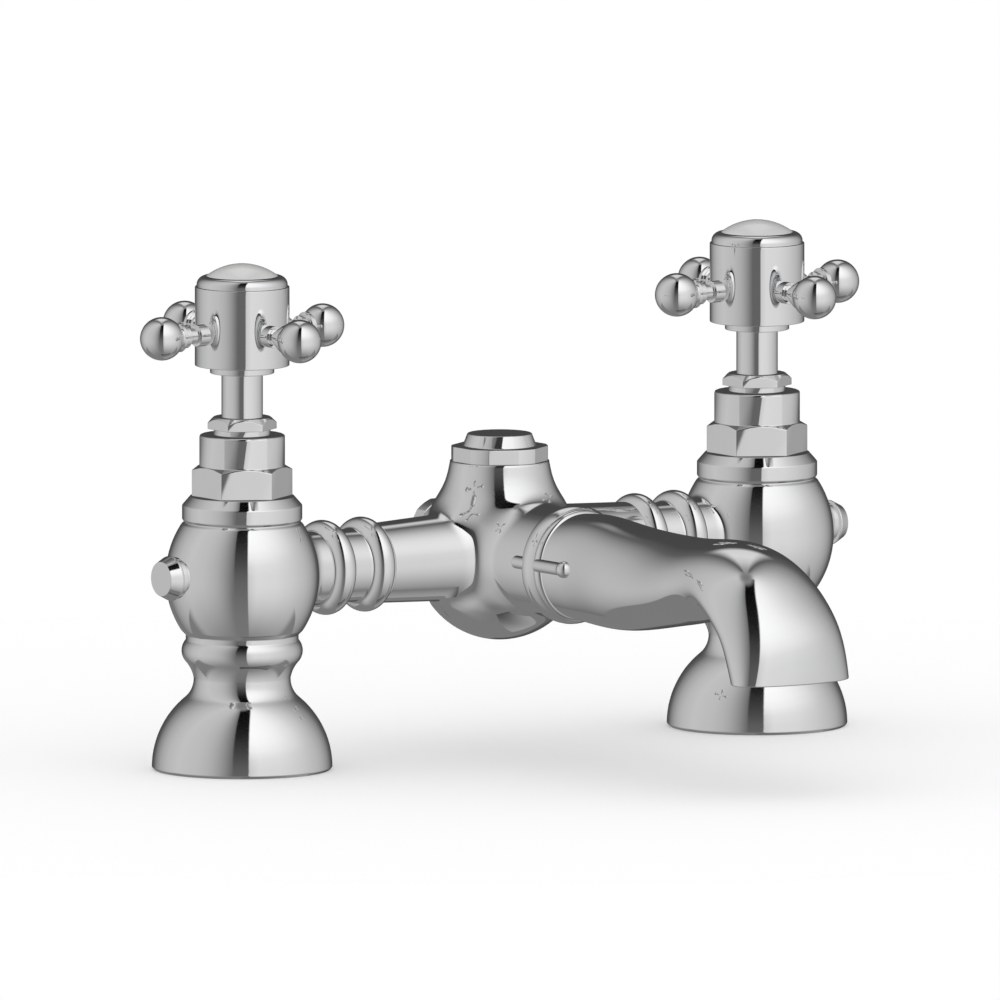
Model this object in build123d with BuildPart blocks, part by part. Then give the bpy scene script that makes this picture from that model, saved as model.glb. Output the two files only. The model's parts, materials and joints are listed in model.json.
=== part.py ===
from build123d import *

import math
import os

# Deck-mounted bath filler: two pillars with quarter-turn valves and cross handles,
# joined by a cross tube to a round hub that carries the spout.
# Origin: on the deck, midway between the two inlets. +Z up, the spout points to -Y,
# the hot pillar stands at -X. All sizes in millimetres.

# Layout
inlet_centres = 180.0
deck_thickness = 20.0

# Clearances
slip = 0.05  # parts screwed or pushed together
running = 0.05  # turning shafts in their bores, radial
disc_gap = 0.25  # turning disc to its cage, radial
seal_gap = 0.04  # seals in their grooves
past = 1.0  # how far a cutting shape reaches past what it cuts

# Pillar, heights are stacked from the deck upwards
base_r = 25.7
base_edge = 0.8
bell_h = 20.6
bell_top_r = 16.2
bell_swell = (0.76, 0.54)  # share of the bell's width that is left at this share of its height
neck_r = 13.8
neck_h = 5.7
neck_sweep = (0.26, 0.42)  # the same, for the hollow above the bell
bead_r = 17.25
bead_rise = 7.7
bead_half_h = 3.1
bead_sweep = (0.36, 0.53)  # the same, for the hollow below the bead
groove_r = 16.05
groove_h = 1.5
globe_step = 1.2
globe_rise = 21.7
globe_r = 21.8
globe_end_r = 17.3
globe_top = 14.5
collar_groove = 0.8
collar_groove_h = 1.5
collar_r = 17.1
collar_h = 3.9
cone_h = 2.7
cone_rim = 2.35  # wall left round the gasket of the headwork
wall = 3.5
chamber_floor = 7.6  # above the bead
chamber_gap = 2.0  # below the headwork's thread
waterway_r = 8.5
seat_tube_wall = 1.2  # round the cage of the headwork
spigot_reach = 3.0  # past the globe

# Inlet tail, G3/4
tail_r = 13.22
tail_bore_r = 9.0
tail_shank_r = 12.6
tail_depth = 14.0
tail_length = 55.0
tail_chamfer = 1.2
relief_w = 1.4
relief_depth = 0.9
free_end = 20.0
gasket_r = 22.0
gasket_h = 1.5
washer_r = 21.0
washer_h = 2.0
washer_play = 0.3
backnut_flats = 36.0
backnut_flange = 2.5  # past half the flats
backnut_flange_h = 3.0
backnut_h = 11.0

# Headwork, heights are stacked from the pillar's top
hex_flats = 25.0
hex_h = 8.7
hex_chamfer_h = 1.25
barrel_set_in = 0.28  # from half the flats
barrel_h = 8.8
barrel_edge = 0.4
thread_r = 10.4
thread_length = 9.0
cage_set_in = 0.6  # from the thread
cage_wall = 1.1
window_w = 7.0
window_h = 3.6
window_rise = 0.3
gasket_ring_w = 2.0
gasket_ring_h = 1.6
gland_depth = 6.5
packing_w = 1.7
packing_h = 2.5
gland_rim = 0.5  # of the nut's neck round the gland's bore, and of its flats round the neck
gland_neck_h = 1.6
gland_nut_h = 3.5
gland_chamfer_h = 1.7

# Spindle and discs, heights are stacked downwards from the headwork's inner shoulder
spindle_r = 5.9
spindle_show = 12.5
shoulder_depth = 11.8
thrust_h = 0.8
foot_rim = 1.5  # round the stem
foot_h = 1.6
tongue_w = 5.0
tongue_h = 2.8
slot_depth = 1.0
disc_h = 3.0
port_r = 7.3
port_inner_r = 3.4
port_angle = 34
seal_h = 1.8
drive_r = 4.1
drive_flats = 6.6
drive_h = 5.5
o_ring_w = 1.5
spindle_seal_rise = 4.0
spindle_seal_pitch = 5.0

# Handle
boss_r = 9.15
boss_h = 2.2
hub_r = 13.47
hub_h = 22.6
hub_floor = 7.0
hub_wall = 3.2
arm_rise = 9.5
arm_r = 2.2
arm_root_r = 3.1
arm_root_end = 2.8  # past the barrel
arm_collar_r = 4.2
arm_collar_w = 1.0
arm_step = 0.95
arm_ring_w = 2.2
arm_spigot_r = 2.0
arm_seat_depth = 1.4
ball_r = 6.2
ball_reach = 28.1
cap_r = 12.95
cap_h = 3.0
cap_skirt = 5.0
cap_band = 0.9
cap_land = 0.2
cap_round = 0.68
dome_r = 10.25
dome_h = 3.5
dome_plug_r = 8.0
screw_r = 2.5
screw_head_r = 4.5
screw_head_h = 3.2
screw_hole = 10.0  # depth in the stem
screw_tip_gap = 1.0
screw_play = 0.3
screw_key_r = 2.0
screw_key_depth = 2.0

# Blanking plug on the outer side of each globe
plug_rise = 0.6
plug_neck_rim = 0.8  # past the thread
plug_neck_h = 1.7
plug_ring_rim = 1.2  # past the neck
plug_ring_h = 1.4
plug_groove = 0.5
plug_head_rim = 0.47  # past the ring
plug_face_r = 4.9
plug_face_rise = 3.0
plug_thread_r = 3.9
plug_thread_h = 5.0
plug_seat_depth = 0.5
plug_washer_h = 0.5

# Cross tube
union_length = 21.0
union_wall = 1.75
union_bead_rise = 3.15
union_bead_w = 6.6
union_bead_inset = 3.7
spigot_wall = 1.85
nipple_r = 8.6
nipple_wall = 3.1
arm_lip = 0.95  # of the hub's arm past the union
arm_flare = 1.95  # that the arm's cone gains on its way to the hub's axis
nipple_groove_at = 3.0
nipple_groove_w = 2.0
nipple_groove_depth = 1.8
end_gap = 0.2

# Hub
pot_r = 20.3
pot_bulge = 3.8  # that the pot's ball has on its straight side
pot_drop = 0.7  # the pot's ball is centred this far below the cross tube's axis
pot_shoulder = 14.9
pot_flare = (0.5, 0.29)  # where the flare to the top neck passes, as shares of its height and width
pot_wall = 3.8
hub_neck_h = 26.4
hub_neck_rim = 2.7  # round the plug's seal
rear_boss_rim = 2.1
rear_boss_out = 3.1  # past the pot
front_neck_out = 13.7
front_neck_wall = 4.2
plug_bore_r = 9.6
hub_plug_flats = 26.1
hub_plug_corner = 0.7  # left of the corners past half the flats
hub_plug_hex_h = 4.3
hub_plug_cone_h = 3.5
hub_plug_cone_step = 2.55  # in from half the flats
hub_plug_taper = 1.35
hub_plug_thread_h = 6.0
hub_seal_w = 1.8
hub_seal_h = 1.4

# Spout
spout_socket_r = 11.0
spout_socket_depth = 8.0
spout_groove_at = 2.0
spout_groove_depth = 1.2
spout_wall = 2.8
spout_root_step = 0.2  # the spout's root is this much slimmer than the hub's front neck
spout_run = 62.6  # from the collar to where the spout starts to bend
collar_ring_rise = 1.8  # past the front neck
collar_ring_fall = 0.9  # from the first bead to the second
collar_ring_w = 6.2
collar_step = 0.55  # share of the ring's width that the larger bead takes
collar_bulge = 0.8
pin_r = 1.75
pin_out = 0.3  # past the front neck
pin_rise = 1.3
pin_length = 25.2
pin_inset = 4.7  # the pins start this far behind the end of the front neck

# Spout sections. Each has its place along -Y, its height from the cross tube's axis, its
# tilt from upright, and what its half width and its thickness above and below the middle
# gain on the spout's root. On the run the place is a share of the run, on the bend it is
# the way past the run's end.
run_sections = [
    (0.0, 0.0, 0.0, 0.0, 0.0, 0.0),
    (0.16, -0.1, -1.25, -0.25, 0.75, 0.75),
    (0.4, -0.7, -1.5, 0.7, 0.2, 0.25),
    (0.75, 0.4, -4.3, 1.4, -1.9, -1.95),
    (1.0, 2.2, -3.0, 2.1, -3.3, -3.3),
]
bend_sections = [
    (13.1, 3.5, 16.9, 2.7, -4.0, -5.0),
    (21.5, 1.2, 38.4, 3.6, -3.6, -6.2),
    (28.8, -4.2, 61.4, 4.4, -3.6, -6.1),
    (34.4, -10.8, 78.2, 4.6, -3.7, -5.7),
    (37.5, -17.5, 87.0, 4.6, -4.8, -5.3),
    (38.8, -23.3, 90.0, 4.5, -6.1, -5.5),
]

# Radii that follow from what fits inside
gasket_ring_r = thread_r + gasket_ring_w
cone_top_r = gasket_ring_r + cone_rim
barrel_r = hex_flats / 2 - barrel_set_in
cage_r = thread_r - cage_set_in
seat_tube_r = cage_r + seat_tube_wall
gland_bore_r = spindle_r + packing_w
gland_neck_r = gland_bore_r + gland_rim
gland_flats = 2 * (gland_neck_r + gland_rim)
foot_r = spindle_r + foot_rim
plug_neck_r = plug_thread_r + plug_neck_rim
plug_ring_r = plug_neck_r + plug_ring_rim
plug_head_r = plug_ring_r + plug_head_rim
union_r = nipple_r + slip + union_wall
union_bead_r = union_r + union_bead_rise
spigot_r = nipple_r + slip + spigot_wall
tube_bore_r = nipple_r - nipple_wall
arm_end_r = union_r + arm_lip
arm_hub_r = arm_end_r + arm_flare
pot_ball_r = pot_r + pot_bulge
hub_chamber_r = pot_r - pot_wall
hub_seal_r = plug_bore_r + hub_seal_w
hub_neck_r = hub_seal_r + hub_neck_rim
rear_boss_r = hub_seal_r + rear_boss_rim
hub_plug_r = hub_plug_flats / 2 + hub_plug_corner
hub_plug_cone_r = hub_plug_flats / 2 - hub_plug_cone_step
front_neck_r = spout_socket_r + front_neck_wall
spout_root_r = front_neck_r - spout_root_step
collar_ring_r = front_neck_r + collar_ring_rise
collar_ring2_r = collar_ring_r - collar_ring_fall

# Heights that follow from the stack
neck_z = bell_h + neck_h
bead_z = neck_z + bead_rise
bridge_z = bead_z + globe_rise
globe_z = bead_z + bead_half_h + groove_h + globe_step
globe_top_z = bridge_z + globe_top
collar_z = globe_top_z + collar_groove_h
headwork_z = collar_z + collar_h + cone_h
barrel_z = headwork_z + hex_h
barrel_top_z = barrel_z + barrel_h
gland_z = barrel_top_z + gland_neck_h
gland_top_z = gland_z + gland_nut_h
boss_z = gland_top_z + spindle_show
handle_z = boss_z + boss_h
arm_z = handle_z + arm_rise
handle_top_z = handle_z + hub_h
shoulder_z = headwork_z - shoulder_depth
foot_top_z = shoulder_z - thrust_h
tongue_top_z = foot_top_z - foot_h
disc_top_z = tongue_top_z - tongue_h
disc_z = disc_top_z - disc_h
fixed_z = disc_z - disc_h
seat_z = fixed_z - seal_h
plug_z = bridge_z + plug_rise
chamber_top_z = headwork_z - thread_length - chamber_gap

# Reaches along X and Y that follow
pillar_x = inlet_centres / 2
spigot_end = pillar_x - globe_r - spigot_reach
hub_arm_end = spigot_end - union_length
nipple_end = spigot_end + spigot_reach + wall
plug_seat = pillar_x + globe_r - plug_seat_depth
rear_boss_reach = pot_r + rear_boss_out
front_neck_reach = pot_r + front_neck_out
spout_root = front_neck_reach + collar_ring_w
spout_bend = spout_root + spout_run
pin_reach = front_neck_r + pin_out
pin_start = front_neck_reach - pin_inset

hot = -1
cold = 1
sides = {"left": hot, "right": cold}

# Directions of the hub's branches
leftward = (-1, 0, 0)
rightward = (1, 0, 0)
forward = (0, -1, 0)
backward = (0, 1, 0)
upward = (0, 0, 1)


def pillar_plane(s):
    """Upright plane through a pillar's axis: local x is the radius, local y the height."""
    return Plane(origin=(s * pillar_x, 0, 0), x_dir=(1, 0, 0), z_dir=(0, -1, 0))


def pillar_axis(s):
    return Axis((s * pillar_x, 0, 0), (0, 0, 1))


def tube_plane(s, height=bridge_z):
    """Upright plane whose local x runs from the hub outwards along the cross tube."""
    return Plane(origin=(0, 0, height), x_dir=(s, 0, 0), z_dir=(0, -s, 0))


def tube_axis(height=bridge_z):
    return Axis((0, 0, height), (1, 0, 0))


def level(s, height):
    """Level plane on a pillar's axis."""
    return Plane(origin=(s * pillar_x, 0, height))


def chord(radius, flats):
    """Half height at which a round of this radius meets a flat that far from its axis."""
    return math.sqrt(radius**2 - flats**2)


def between(low, high, shares):
    """Point at these shares of the way from one corner to the other."""
    return tuple(a + (b - a) * share for a, b, share in zip(low, high, shares))


def pillar_outline(s):
    """Half outline of the pillar: bell, neck, bead, globe, collar, cone under the headwork."""
    bead_low_z = bead_z - bead_half_h
    bead_high_z = bead_z + bead_half_h
    groove_floor_r = globe_end_r - collar_groove
    with BuildSketch(pillar_plane(s)) as outline:
        with BuildLine():
            Line((0, 0), (base_r - base_edge, 0))
            Line((base_r - base_edge, 0), (base_r, base_edge))
            ThreePointArc(
                (base_r, base_edge),
                between((bell_top_r, 0), (base_r, bell_h), bell_swell),
                (bell_top_r, bell_h),
            )
            ThreePointArc(
                (bell_top_r, bell_h),
                between((neck_r, bell_h), (bell_top_r, neck_z), neck_sweep),
                (neck_r, neck_z),
            )
            ThreePointArc(
                (neck_r, neck_z),
                between((neck_r, neck_z), (groove_r, bead_low_z), bead_sweep),
                (groove_r, bead_low_z),
            )
            ThreePointArc((groove_r, bead_low_z), (bead_r, bead_z), (groove_r, bead_high_z))
            Line((groove_r, bead_high_z), (groove_r, globe_z - globe_step))
            Line((groove_r, globe_z - globe_step), (globe_end_r, globe_z))
            ThreePointArc((globe_end_r, globe_z), (globe_r, bridge_z), (globe_end_r, globe_top_z))
            Line((globe_end_r, globe_top_z), (groove_floor_r, collar_z - collar_groove))
            Line((groove_floor_r, collar_z - collar_groove), (collar_r, collar_z))
            Line((collar_r, collar_z), (collar_r, collar_z + collar_h))
            Line((collar_r, collar_z + collar_h), (cone_top_r, headwork_z))
            Line((cone_top_r, headwork_z), (0, headwork_z))
            Line((0, headwork_z), (0, 0))
        make_face()
    return outline.sketch


def pillar_chamber(s):
    """Half outline of the room round the seat tube."""
    floor_z = bead_z + chamber_floor
    inner_r = globe_end_r - wall
    with BuildSketch(pillar_plane(s)) as outline:
        with BuildLine():
            Line((seat_tube_r, floor_z), (inner_r, floor_z))
            ThreePointArc((inner_r, floor_z), (globe_r - wall, bridge_z), (inner_r, chamber_top_z))
            Line((inner_r, chamber_top_z), (0, chamber_top_z))
            Line((0, chamber_top_z), (0, seat_z))
            Line((0, seat_z), (seat_tube_r, seat_z))
            Line((seat_tube_r, seat_z), (seat_tube_r, floor_z))
        make_face()
    return outline.sketch


def pillar_inlet(s):
    """Half outline of the gasket's recess, the tail's socket and the way up to the seat."""
    with BuildSketch(pillar_plane(s)) as outline:
        with BuildLine():
            Polyline(
                (0, 0),
                (gasket_r + slip, 0),
                (gasket_r + slip, gasket_h),
                (tail_shank_r + slip, gasket_h),
                (tail_shank_r + slip, tail_depth),
                (waterway_r, tail_depth),
                (waterway_r, seat_z),
                (0, seat_z),
                close=True,
            )
        make_face()
    return outline.sketch


def pillar_mouth(s):
    """Half outline of the headwork's thread and its gasket's seat."""
    bore_r = thread_r + slip
    with BuildSketch(pillar_plane(s)) as outline:
        with BuildLine():
            Polyline(
                (0, chamber_top_z),
                (bore_r, chamber_top_z),
                (bore_r, headwork_z - gasket_ring_h),
                (gasket_ring_r + slip, headwork_z - gasket_ring_h),
                (gasket_ring_r + slip, headwork_z),
                (0, headwork_z),
                close=True,
            )
        make_face()
    return outline.sketch


def plug_hole(s):
    """Half outline of the blanking plug's thread and the spot face under its washer."""
    with BuildSketch(tube_plane(s, plug_z)) as outline:
        with BuildLine():
            Polyline(
                (plug_seat - plug_thread_h, 0),
                (plug_seat + past, 0),
                (plug_seat + past, plug_neck_r + slip),
                (plug_seat - plug_washer_h, plug_neck_r + slip),
                (plug_seat - plug_washer_h, plug_thread_r + slip),
                (plug_seat - plug_thread_h, plug_thread_r + slip),
                close=True,
            )
        make_face()
    return outline.sketch


def bar(plane, start, end, start_r, end_r):
    """Half outline of a round bar or cone along a plane's local x."""
    with BuildSketch(plane) as outline:
        with BuildLine():
            Polyline((start, 0), (end, 0), (end, end_r), (start, start_r), close=True)
        make_face()
    return outline.sketch


def pillar_body(s):
    """Casting: turned pillar, cross spigot, seat tube, and the holes for all that screws in."""
    socket_r = nipple_r + slip
    with BuildPart() as body:
        revolve(pillar_outline(s), axis=pillar_axis(s))
        revolve(bar(tube_plane(s), spigot_end, pillar_x, spigot_r, spigot_r), axis=tube_axis())
        revolve(pillar_chamber(s), axis=pillar_axis(s), mode=Mode.SUBTRACT)
        revolve(pillar_inlet(s), axis=pillar_axis(s), mode=Mode.SUBTRACT)
        revolve(pillar_mouth(s), axis=pillar_axis(s), mode=Mode.SUBTRACT)
        socket = bar(tube_plane(s), spigot_end, nipple_end, socket_r, socket_r)
        revolve(socket, axis=tube_axis(), mode=Mode.SUBTRACT)
        revolve(plug_hole(s), axis=tube_axis(plug_z), mode=Mode.SUBTRACT)
    return body


def inlet_tail(s):
    """Threaded tail: shank in the pillar, long thread, relief groove, free end for the supply."""
    groove_top = -tail_length + free_end + relief_w
    groove_r_in = tail_r - relief_depth
    with BuildPart() as tail:
        with BuildSketch(pillar_plane(s)):
            with BuildLine():
                Polyline(
                    (tail_bore_r, -tail_length),
                    (tail_r - tail_chamfer, -tail_length),
                    (tail_r, -tail_length + tail_chamfer),
                    (tail_r, groove_top - relief_w),
                    (groove_r_in, groove_top - relief_w),
                    (groove_r_in, groove_top),
                    (tail_r, groove_top),
                    (tail_r, 0),
                    (tail_shank_r, 0),
                    (tail_shank_r, tail_depth),
                    (tail_bore_r, tail_depth),
                    close=True,
                )
            make_face()
        revolve(axis=pillar_axis(s))
    return tail


def rings(planes, inner, outer, height):
    """Flat rings, one standing on each plane."""
    with BuildPart() as flat:
        for plane in planes:
            with BuildSketch(plane):
                Circle(outer)
                Circle(inner, mode=Mode.SUBTRACT)
            extrude(amount=height)
    return flat


def o_rings(planes, inner, width):
    """Round-section rings, one centred on each plane, with their inner radius given."""
    with BuildPart() as seals:
        for plane in planes:
            with BuildSketch(Plane(origin=plane.origin, x_dir=plane.x_dir, z_dir=-plane.y_dir)):
                with Locations((inner + width / 2, 0)):
                    Circle(width / 2)
            revolve(axis=Axis(plane.origin, plane.z_dir))
    return seals


def backnut(s):
    """Flanged hexagon nut that clamps the deck from below."""
    top = -deck_thickness - washer_h
    with BuildPart() as nut:
        with BuildSketch(level(s, top)):
            Circle(backnut_flats / 2 + backnut_flange)
        extrude(amount=-backnut_flange_h)
        with BuildSketch(level(s, top - backnut_flange_h)):
            RegularPolygon(backnut_flats / 2, 6, major_radius=False)
        extrude(amount=backnut_flange_h - backnut_h)
        with BuildSketch(level(s, top)):
            Circle(tail_r + slip)
        extrude(amount=-backnut_h, mode=Mode.SUBTRACT)
    return nut


def blanking_plug(s):
    """Stepped plug: thread, neck, ring, groove and a coned head."""
    ring_start = plug_seat + plug_neck_h
    groove_start = ring_start + plug_ring_h
    head_start = groove_start + plug_groove
    with BuildPart() as plug:
        with BuildSketch(tube_plane(s, plug_z)):
            with BuildLine():
                Polyline(
                    (plug_seat - plug_thread_h, 0),
                    (plug_seat - plug_thread_h, plug_thread_r),
                    (plug_seat, plug_thread_r),
                    (plug_seat, plug_neck_r),
                    (ring_start, plug_neck_r),
                    (ring_start, plug_ring_r),
                    (groove_start, plug_ring_r),
                    (groove_start, plug_ring_r - plug_groove),
                    (head_start, plug_ring_r - plug_groove),
                    (head_start, plug_head_r),
                    (head_start + plug_groove, plug_head_r),
                    (head_start + plug_groove + plug_face_rise, plug_face_r),
                    (head_start + plug_groove + plug_face_rise, 0),
                    close=True,
                )
            make_face()
        revolve(axis=tube_axis(plug_z))
    return plug


def union_collar(s):
    """Sleeve over the nipple, with two round beads."""
    near, far = hub_arm_end + union_bead_inset, spigot_end - union_bead_inset
    half = union_bead_w / 2
    inner = nipple_r + slip
    with BuildPart() as union:
        with BuildSketch(tube_plane(s)):
            with BuildLine():
                Polyline(
                    (near - half, union_r),
                    (hub_arm_end, union_r),
                    (hub_arm_end, inner),
                    (spigot_end, inner),
                    (spigot_end, union_r),
                    (far + half, union_r),
                )
                ThreePointArc((far + half, union_r), (far, union_bead_r), (far - half, union_r))
                Line((far - half, union_r), (near + half, union_r))
                ThreePointArc((near + half, union_r), (near, union_bead_r), (near - half, union_r))
            make_face()
        revolve(axis=tube_axis())
    return union


def corner_cut(flats, inner_r, top, fall):
    """Outline that turns a hexagon's top corners down: a slope through the corner and the inner radius."""
    corner = flats / math.sqrt(3)
    slope = fall / (corner - inner_r)
    outer_r = corner + past
    return [
        (inner_r, top),
        (outer_r, top - slope * (outer_r - inner_r)),
        (outer_r, top + past),
        (inner_r, top + past),
    ]


def headwork_body(s):
    """Brass headwork: thread, cage for the discs, hexagon, barrel and gland bore."""
    cage_inner = cage_r - cage_wall
    gland_floor = barrel_top_z - gland_depth - packing_h
    with BuildPart() as body:
        with BuildSketch(level(s, headwork_z)):
            RegularPolygon(hex_flats / 2, 6, major_radius=False, rotation=30)
        extrude(amount=hex_h)
        # the top corners are turned down to the barrel
        with BuildSketch(pillar_plane(s)):
            with BuildLine():
                Polyline(*corner_cut(hex_flats, barrel_r, barrel_z, hex_chamfer_h), close=True)
            make_face()
        revolve(axis=pillar_axis(s), mode=Mode.SUBTRACT)
        with BuildSketch(pillar_plane(s)):
            with BuildLine():
                Polyline(
                    (0, fixed_z),
                    (cage_r, fixed_z),
                    (cage_r, headwork_z - thread_length),
                    (thread_r, headwork_z - thread_length),
                    (thread_r, barrel_z - past),
                    (barrel_r, barrel_z - past),
                    (barrel_r, barrel_top_z - barrel_edge),
                    (barrel_r - barrel_edge, barrel_top_z),
                    (0, barrel_top_z),
                    close=True,
                )
            make_face()
        revolve(axis=pillar_axis(s))
        with BuildSketch(pillar_plane(s)):
            with BuildLine():
                Polyline(
                    (0, fixed_z),
                    (cage_inner, fixed_z),
                    (cage_inner, shoulder_z),
                    (spindle_r + running, shoulder_z),
                    (spindle_r + running, gland_floor),
                    (gland_bore_r, gland_floor),
                    (gland_bore_r, barrel_top_z),
                    (0, barrel_top_z),
                    close=True,
                )
            make_face()
        revolve(axis=pillar_axis(s), mode=Mode.SUBTRACT)
        # two windows let the water out of the cage
        with BuildSketch(level(s, disc_top_z + window_rise)):
            Rectangle(4 * cage_r, window_w)
        extrude(amount=window_h, mode=Mode.SUBTRACT)
    return body


def gland_nut(s):
    """Small hexagon nut on a threaded neck that presses the packing."""
    with BuildPart() as nut:
        with BuildSketch(level(s, gland_z)):
            RegularPolygon(gland_flats / 2, 6, major_radius=False, rotation=30)
        extrude(amount=gland_nut_h)
        with BuildSketch(pillar_plane(s)):
            with BuildLine():
                Polyline(*corner_cut(gland_flats, gland_neck_r, gland_top_z, gland_chamfer_h), close=True)
            make_face()
        revolve(axis=pillar_axis(s), mode=Mode.SUBTRACT)
        with BuildSketch(level(s, barrel_top_z)):
            Circle(gland_neck_r)
        extrude(amount=gland_neck_h)
        with BuildSketch(level(s, barrel_top_z - gland_depth)):
            Circle(gland_bore_r - slip)
        extrude(amount=gland_depth)
        with BuildSketch(level(s, barrel_top_z - gland_depth)):
            Circle(spindle_r + running)
        extrude(amount=gland_depth + gland_neck_h + gland_nut_h, mode=Mode.SUBTRACT)
    return nut


def spindle_groove_heights():
    """Centres of the two O-ring grooves, inside the headwork's long bore."""
    first = shoulder_z + spindle_seal_rise
    return (first, first + spindle_seal_pitch)


def spindle(s):
    """Stem: drive tongue, foot, shaft with two grooves, squared head with a tapped hole."""
    groove_floor = spindle_r - o_ring_w + seal_gap
    with BuildPart() as stem:
        with BuildSketch(level(s, disc_top_z - slot_depth + seal_gap)):
            Circle(foot_r)
            Rectangle(2 * foot_r, tongue_w, mode=Mode.INTERSECT)
        extrude(amount=tongue_h + slot_depth - seal_gap)
        with BuildSketch(level(s, tongue_top_z)):
            Circle(foot_r)
        extrude(amount=foot_h)
        with BuildSketch(level(s, tongue_top_z)):
            Circle(spindle_r)
        extrude(amount=boss_z - tongue_top_z)
        with BuildSketch(level(s, boss_z)):
            Circle(drive_r)
            Rectangle(drive_flats, drive_flats, mode=Mode.INTERSECT)
        extrude(amount=drive_h)
        for height in spindle_groove_heights():
            with BuildSketch(level(s, height - o_ring_w / 2 - seal_gap)):
                Circle(spindle_r + past)
                Circle(groove_floor, mode=Mode.SUBTRACT)
            extrude(amount=o_ring_w + 2 * seal_gap, mode=Mode.SUBTRACT)
        with BuildSketch(level(s, boss_z + drive_h)):
            Circle(screw_r + slip)
        extrude(amount=-screw_hole, mode=Mode.SUBTRACT)
    return stem


def spindle_o_rings(s):
    planes = [level(s, height) for height in spindle_groove_heights()]
    return o_rings(planes, spindle_r - o_ring_w + 2 * seal_gap, o_ring_w - 3 * seal_gap)


def ceramic_disc(s, height, turned):
    """Disc with two quarter ports."""
    with BuildPart() as disc:
        with BuildSketch(level(s, height)):
            Circle(cage_r - cage_wall - disc_gap)
            with PolarLocations(0, 2, start_angle=turned):
                with BuildLine():
                    inner = CenterArc((0, 0), port_inner_r, -port_angle, 2 * port_angle)
                    outer = CenterArc((0, 0), port_r, -port_angle, 2 * port_angle)
                    Line(inner @ 0, outer @ 0)
                    Line(inner @ 1, outer @ 1)
                make_face(mode=Mode.SUBTRACT)
        extrude(amount=disc_h)
        if turned:
            # slot across the turning disc for the stem's tongue
            with BuildSketch(level(s, height + disc_h)):
                Rectangle(3 * cage_r, tongue_w + 2 * running)
            extrude(amount=-slot_depth, mode=Mode.SUBTRACT)
    return disc


def handle_hub(s):
    """Barrel of the cross handle: lower boss, square socket, hollow top, four arm seats."""
    with BuildPart() as hub:
        with BuildSketch(level(s, boss_z)):
            Circle(boss_r)
        extrude(amount=boss_h)
        with BuildSketch(level(s, handle_z)):
            Circle(hub_r)
        extrude(amount=hub_h)
        with BuildSketch(level(s, handle_z + hub_floor)):
            Circle(hub_r - hub_wall)
        extrude(amount=hub_h - hub_floor, mode=Mode.SUBTRACT)
        with BuildSketch(level(s, boss_z)):
            Circle(drive_r + slip)
            Rectangle(drive_flats + 2 * slip, drive_flats + 2 * slip, mode=Mode.INTERSECT)
        extrude(amount=drive_h, mode=Mode.SUBTRACT)
        with BuildSketch(level(s, boss_z)):
            Circle(screw_r + screw_play)
        extrude(amount=boss_h + hub_floor, mode=Mode.SUBTRACT)
        for plane in arm_planes(s):
            with BuildSketch(plane):
                with BuildLine():
                    Polyline(
                        (hub_r - hub_wall - past, 0),
                        (hub_r - hub_wall - past, arm_spigot_r + slip),
                        (hub_r - arm_seat_depth, arm_spigot_r + slip),
                        (hub_r - arm_seat_depth, arm_root_r + slip),
                        (hub_r + past, arm_root_r + slip),
                        (hub_r + past, 0),
                        close=True,
                    )
                make_face()
            revolve(axis=Axis(plane.origin, plane.x_dir), mode=Mode.SUBTRACT)
    return hub


def arm_planes(s):
    """One upright plane per arm: local x runs outwards along the arm."""
    directions = [(1, 0, 0), (0, 1, 0), (-1, 0, 0), (0, -1, 0)]
    return [
        Plane(origin=(s * pillar_x, 0, arm_z), x_dir=d, z_dir=(d[1], -d[0], 0)) for d in directions
    ]


def handle_arms(s):
    """Four turned arms, each a spigot, a thick root, a rod, a ring, a collar and a ball."""
    collar_end = ball_reach - chord(ball_r, arm_collar_r - arm_step)
    collar_start = collar_end - arm_collar_w
    with BuildPart() as arms:
        for plane in arm_planes(s):
            with BuildSketch(plane):
                with BuildLine():
                    Polyline(
                        (ball_reach, 0),
                        (hub_r - hub_wall, 0),
                        (hub_r - hub_wall, arm_spigot_r),
                        (hub_r - arm_seat_depth, arm_spigot_r),
                        (hub_r - arm_seat_depth, arm_root_r),
                        (hub_r + arm_root_end, arm_root_r),
                        (hub_r + arm_root_end, arm_r),
                        (collar_start - arm_ring_w, arm_r),
                        (collar_start - arm_ring_w, arm_collar_r - arm_step),
                        (collar_start, arm_collar_r - arm_step),
                        (collar_start, arm_collar_r),
                        (collar_end, arm_collar_r),
                        (collar_end, arm_collar_r - arm_step),
                        (ball_reach, arm_collar_r - arm_step),
                        close=True,
                    )
                make_face()
            revolve(axis=Axis(plane.origin, plane.x_dir))
            with Locations(plane.from_local_coords((ball_reach, 0, 0))):
                Sphere(ball_r)
    return arms


def cap_ring(s):
    """Ring with a rounded shoulder that closes the barrel and holds the index."""
    inner = dome_plug_r + slip
    skirt_r = hub_r - hub_wall - slip
    flat_r = dome_r + cap_land
    top = handle_top_z + cap_h
    band_z = handle_top_z + cap_band
    with BuildPart() as cap:
        with BuildSketch(pillar_plane(s)):
            with BuildLine():
                Polyline(
                    (cap_r, band_z),
                    (cap_r, handle_top_z),
                    (skirt_r, handle_top_z),
                    (skirt_r, handle_top_z - cap_skirt),
                    (inner, handle_top_z - cap_skirt),
                    (inner, top),
                    (flat_r, top),
                )
                ThreePointArc(
                    (flat_r, top),
                    between((flat_r, band_z), (cap_r, top), (cap_round, cap_round)),
                    (cap_r, band_z),
                )
            make_face()
        revolve(axis=pillar_axis(s))
    return cap


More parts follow.
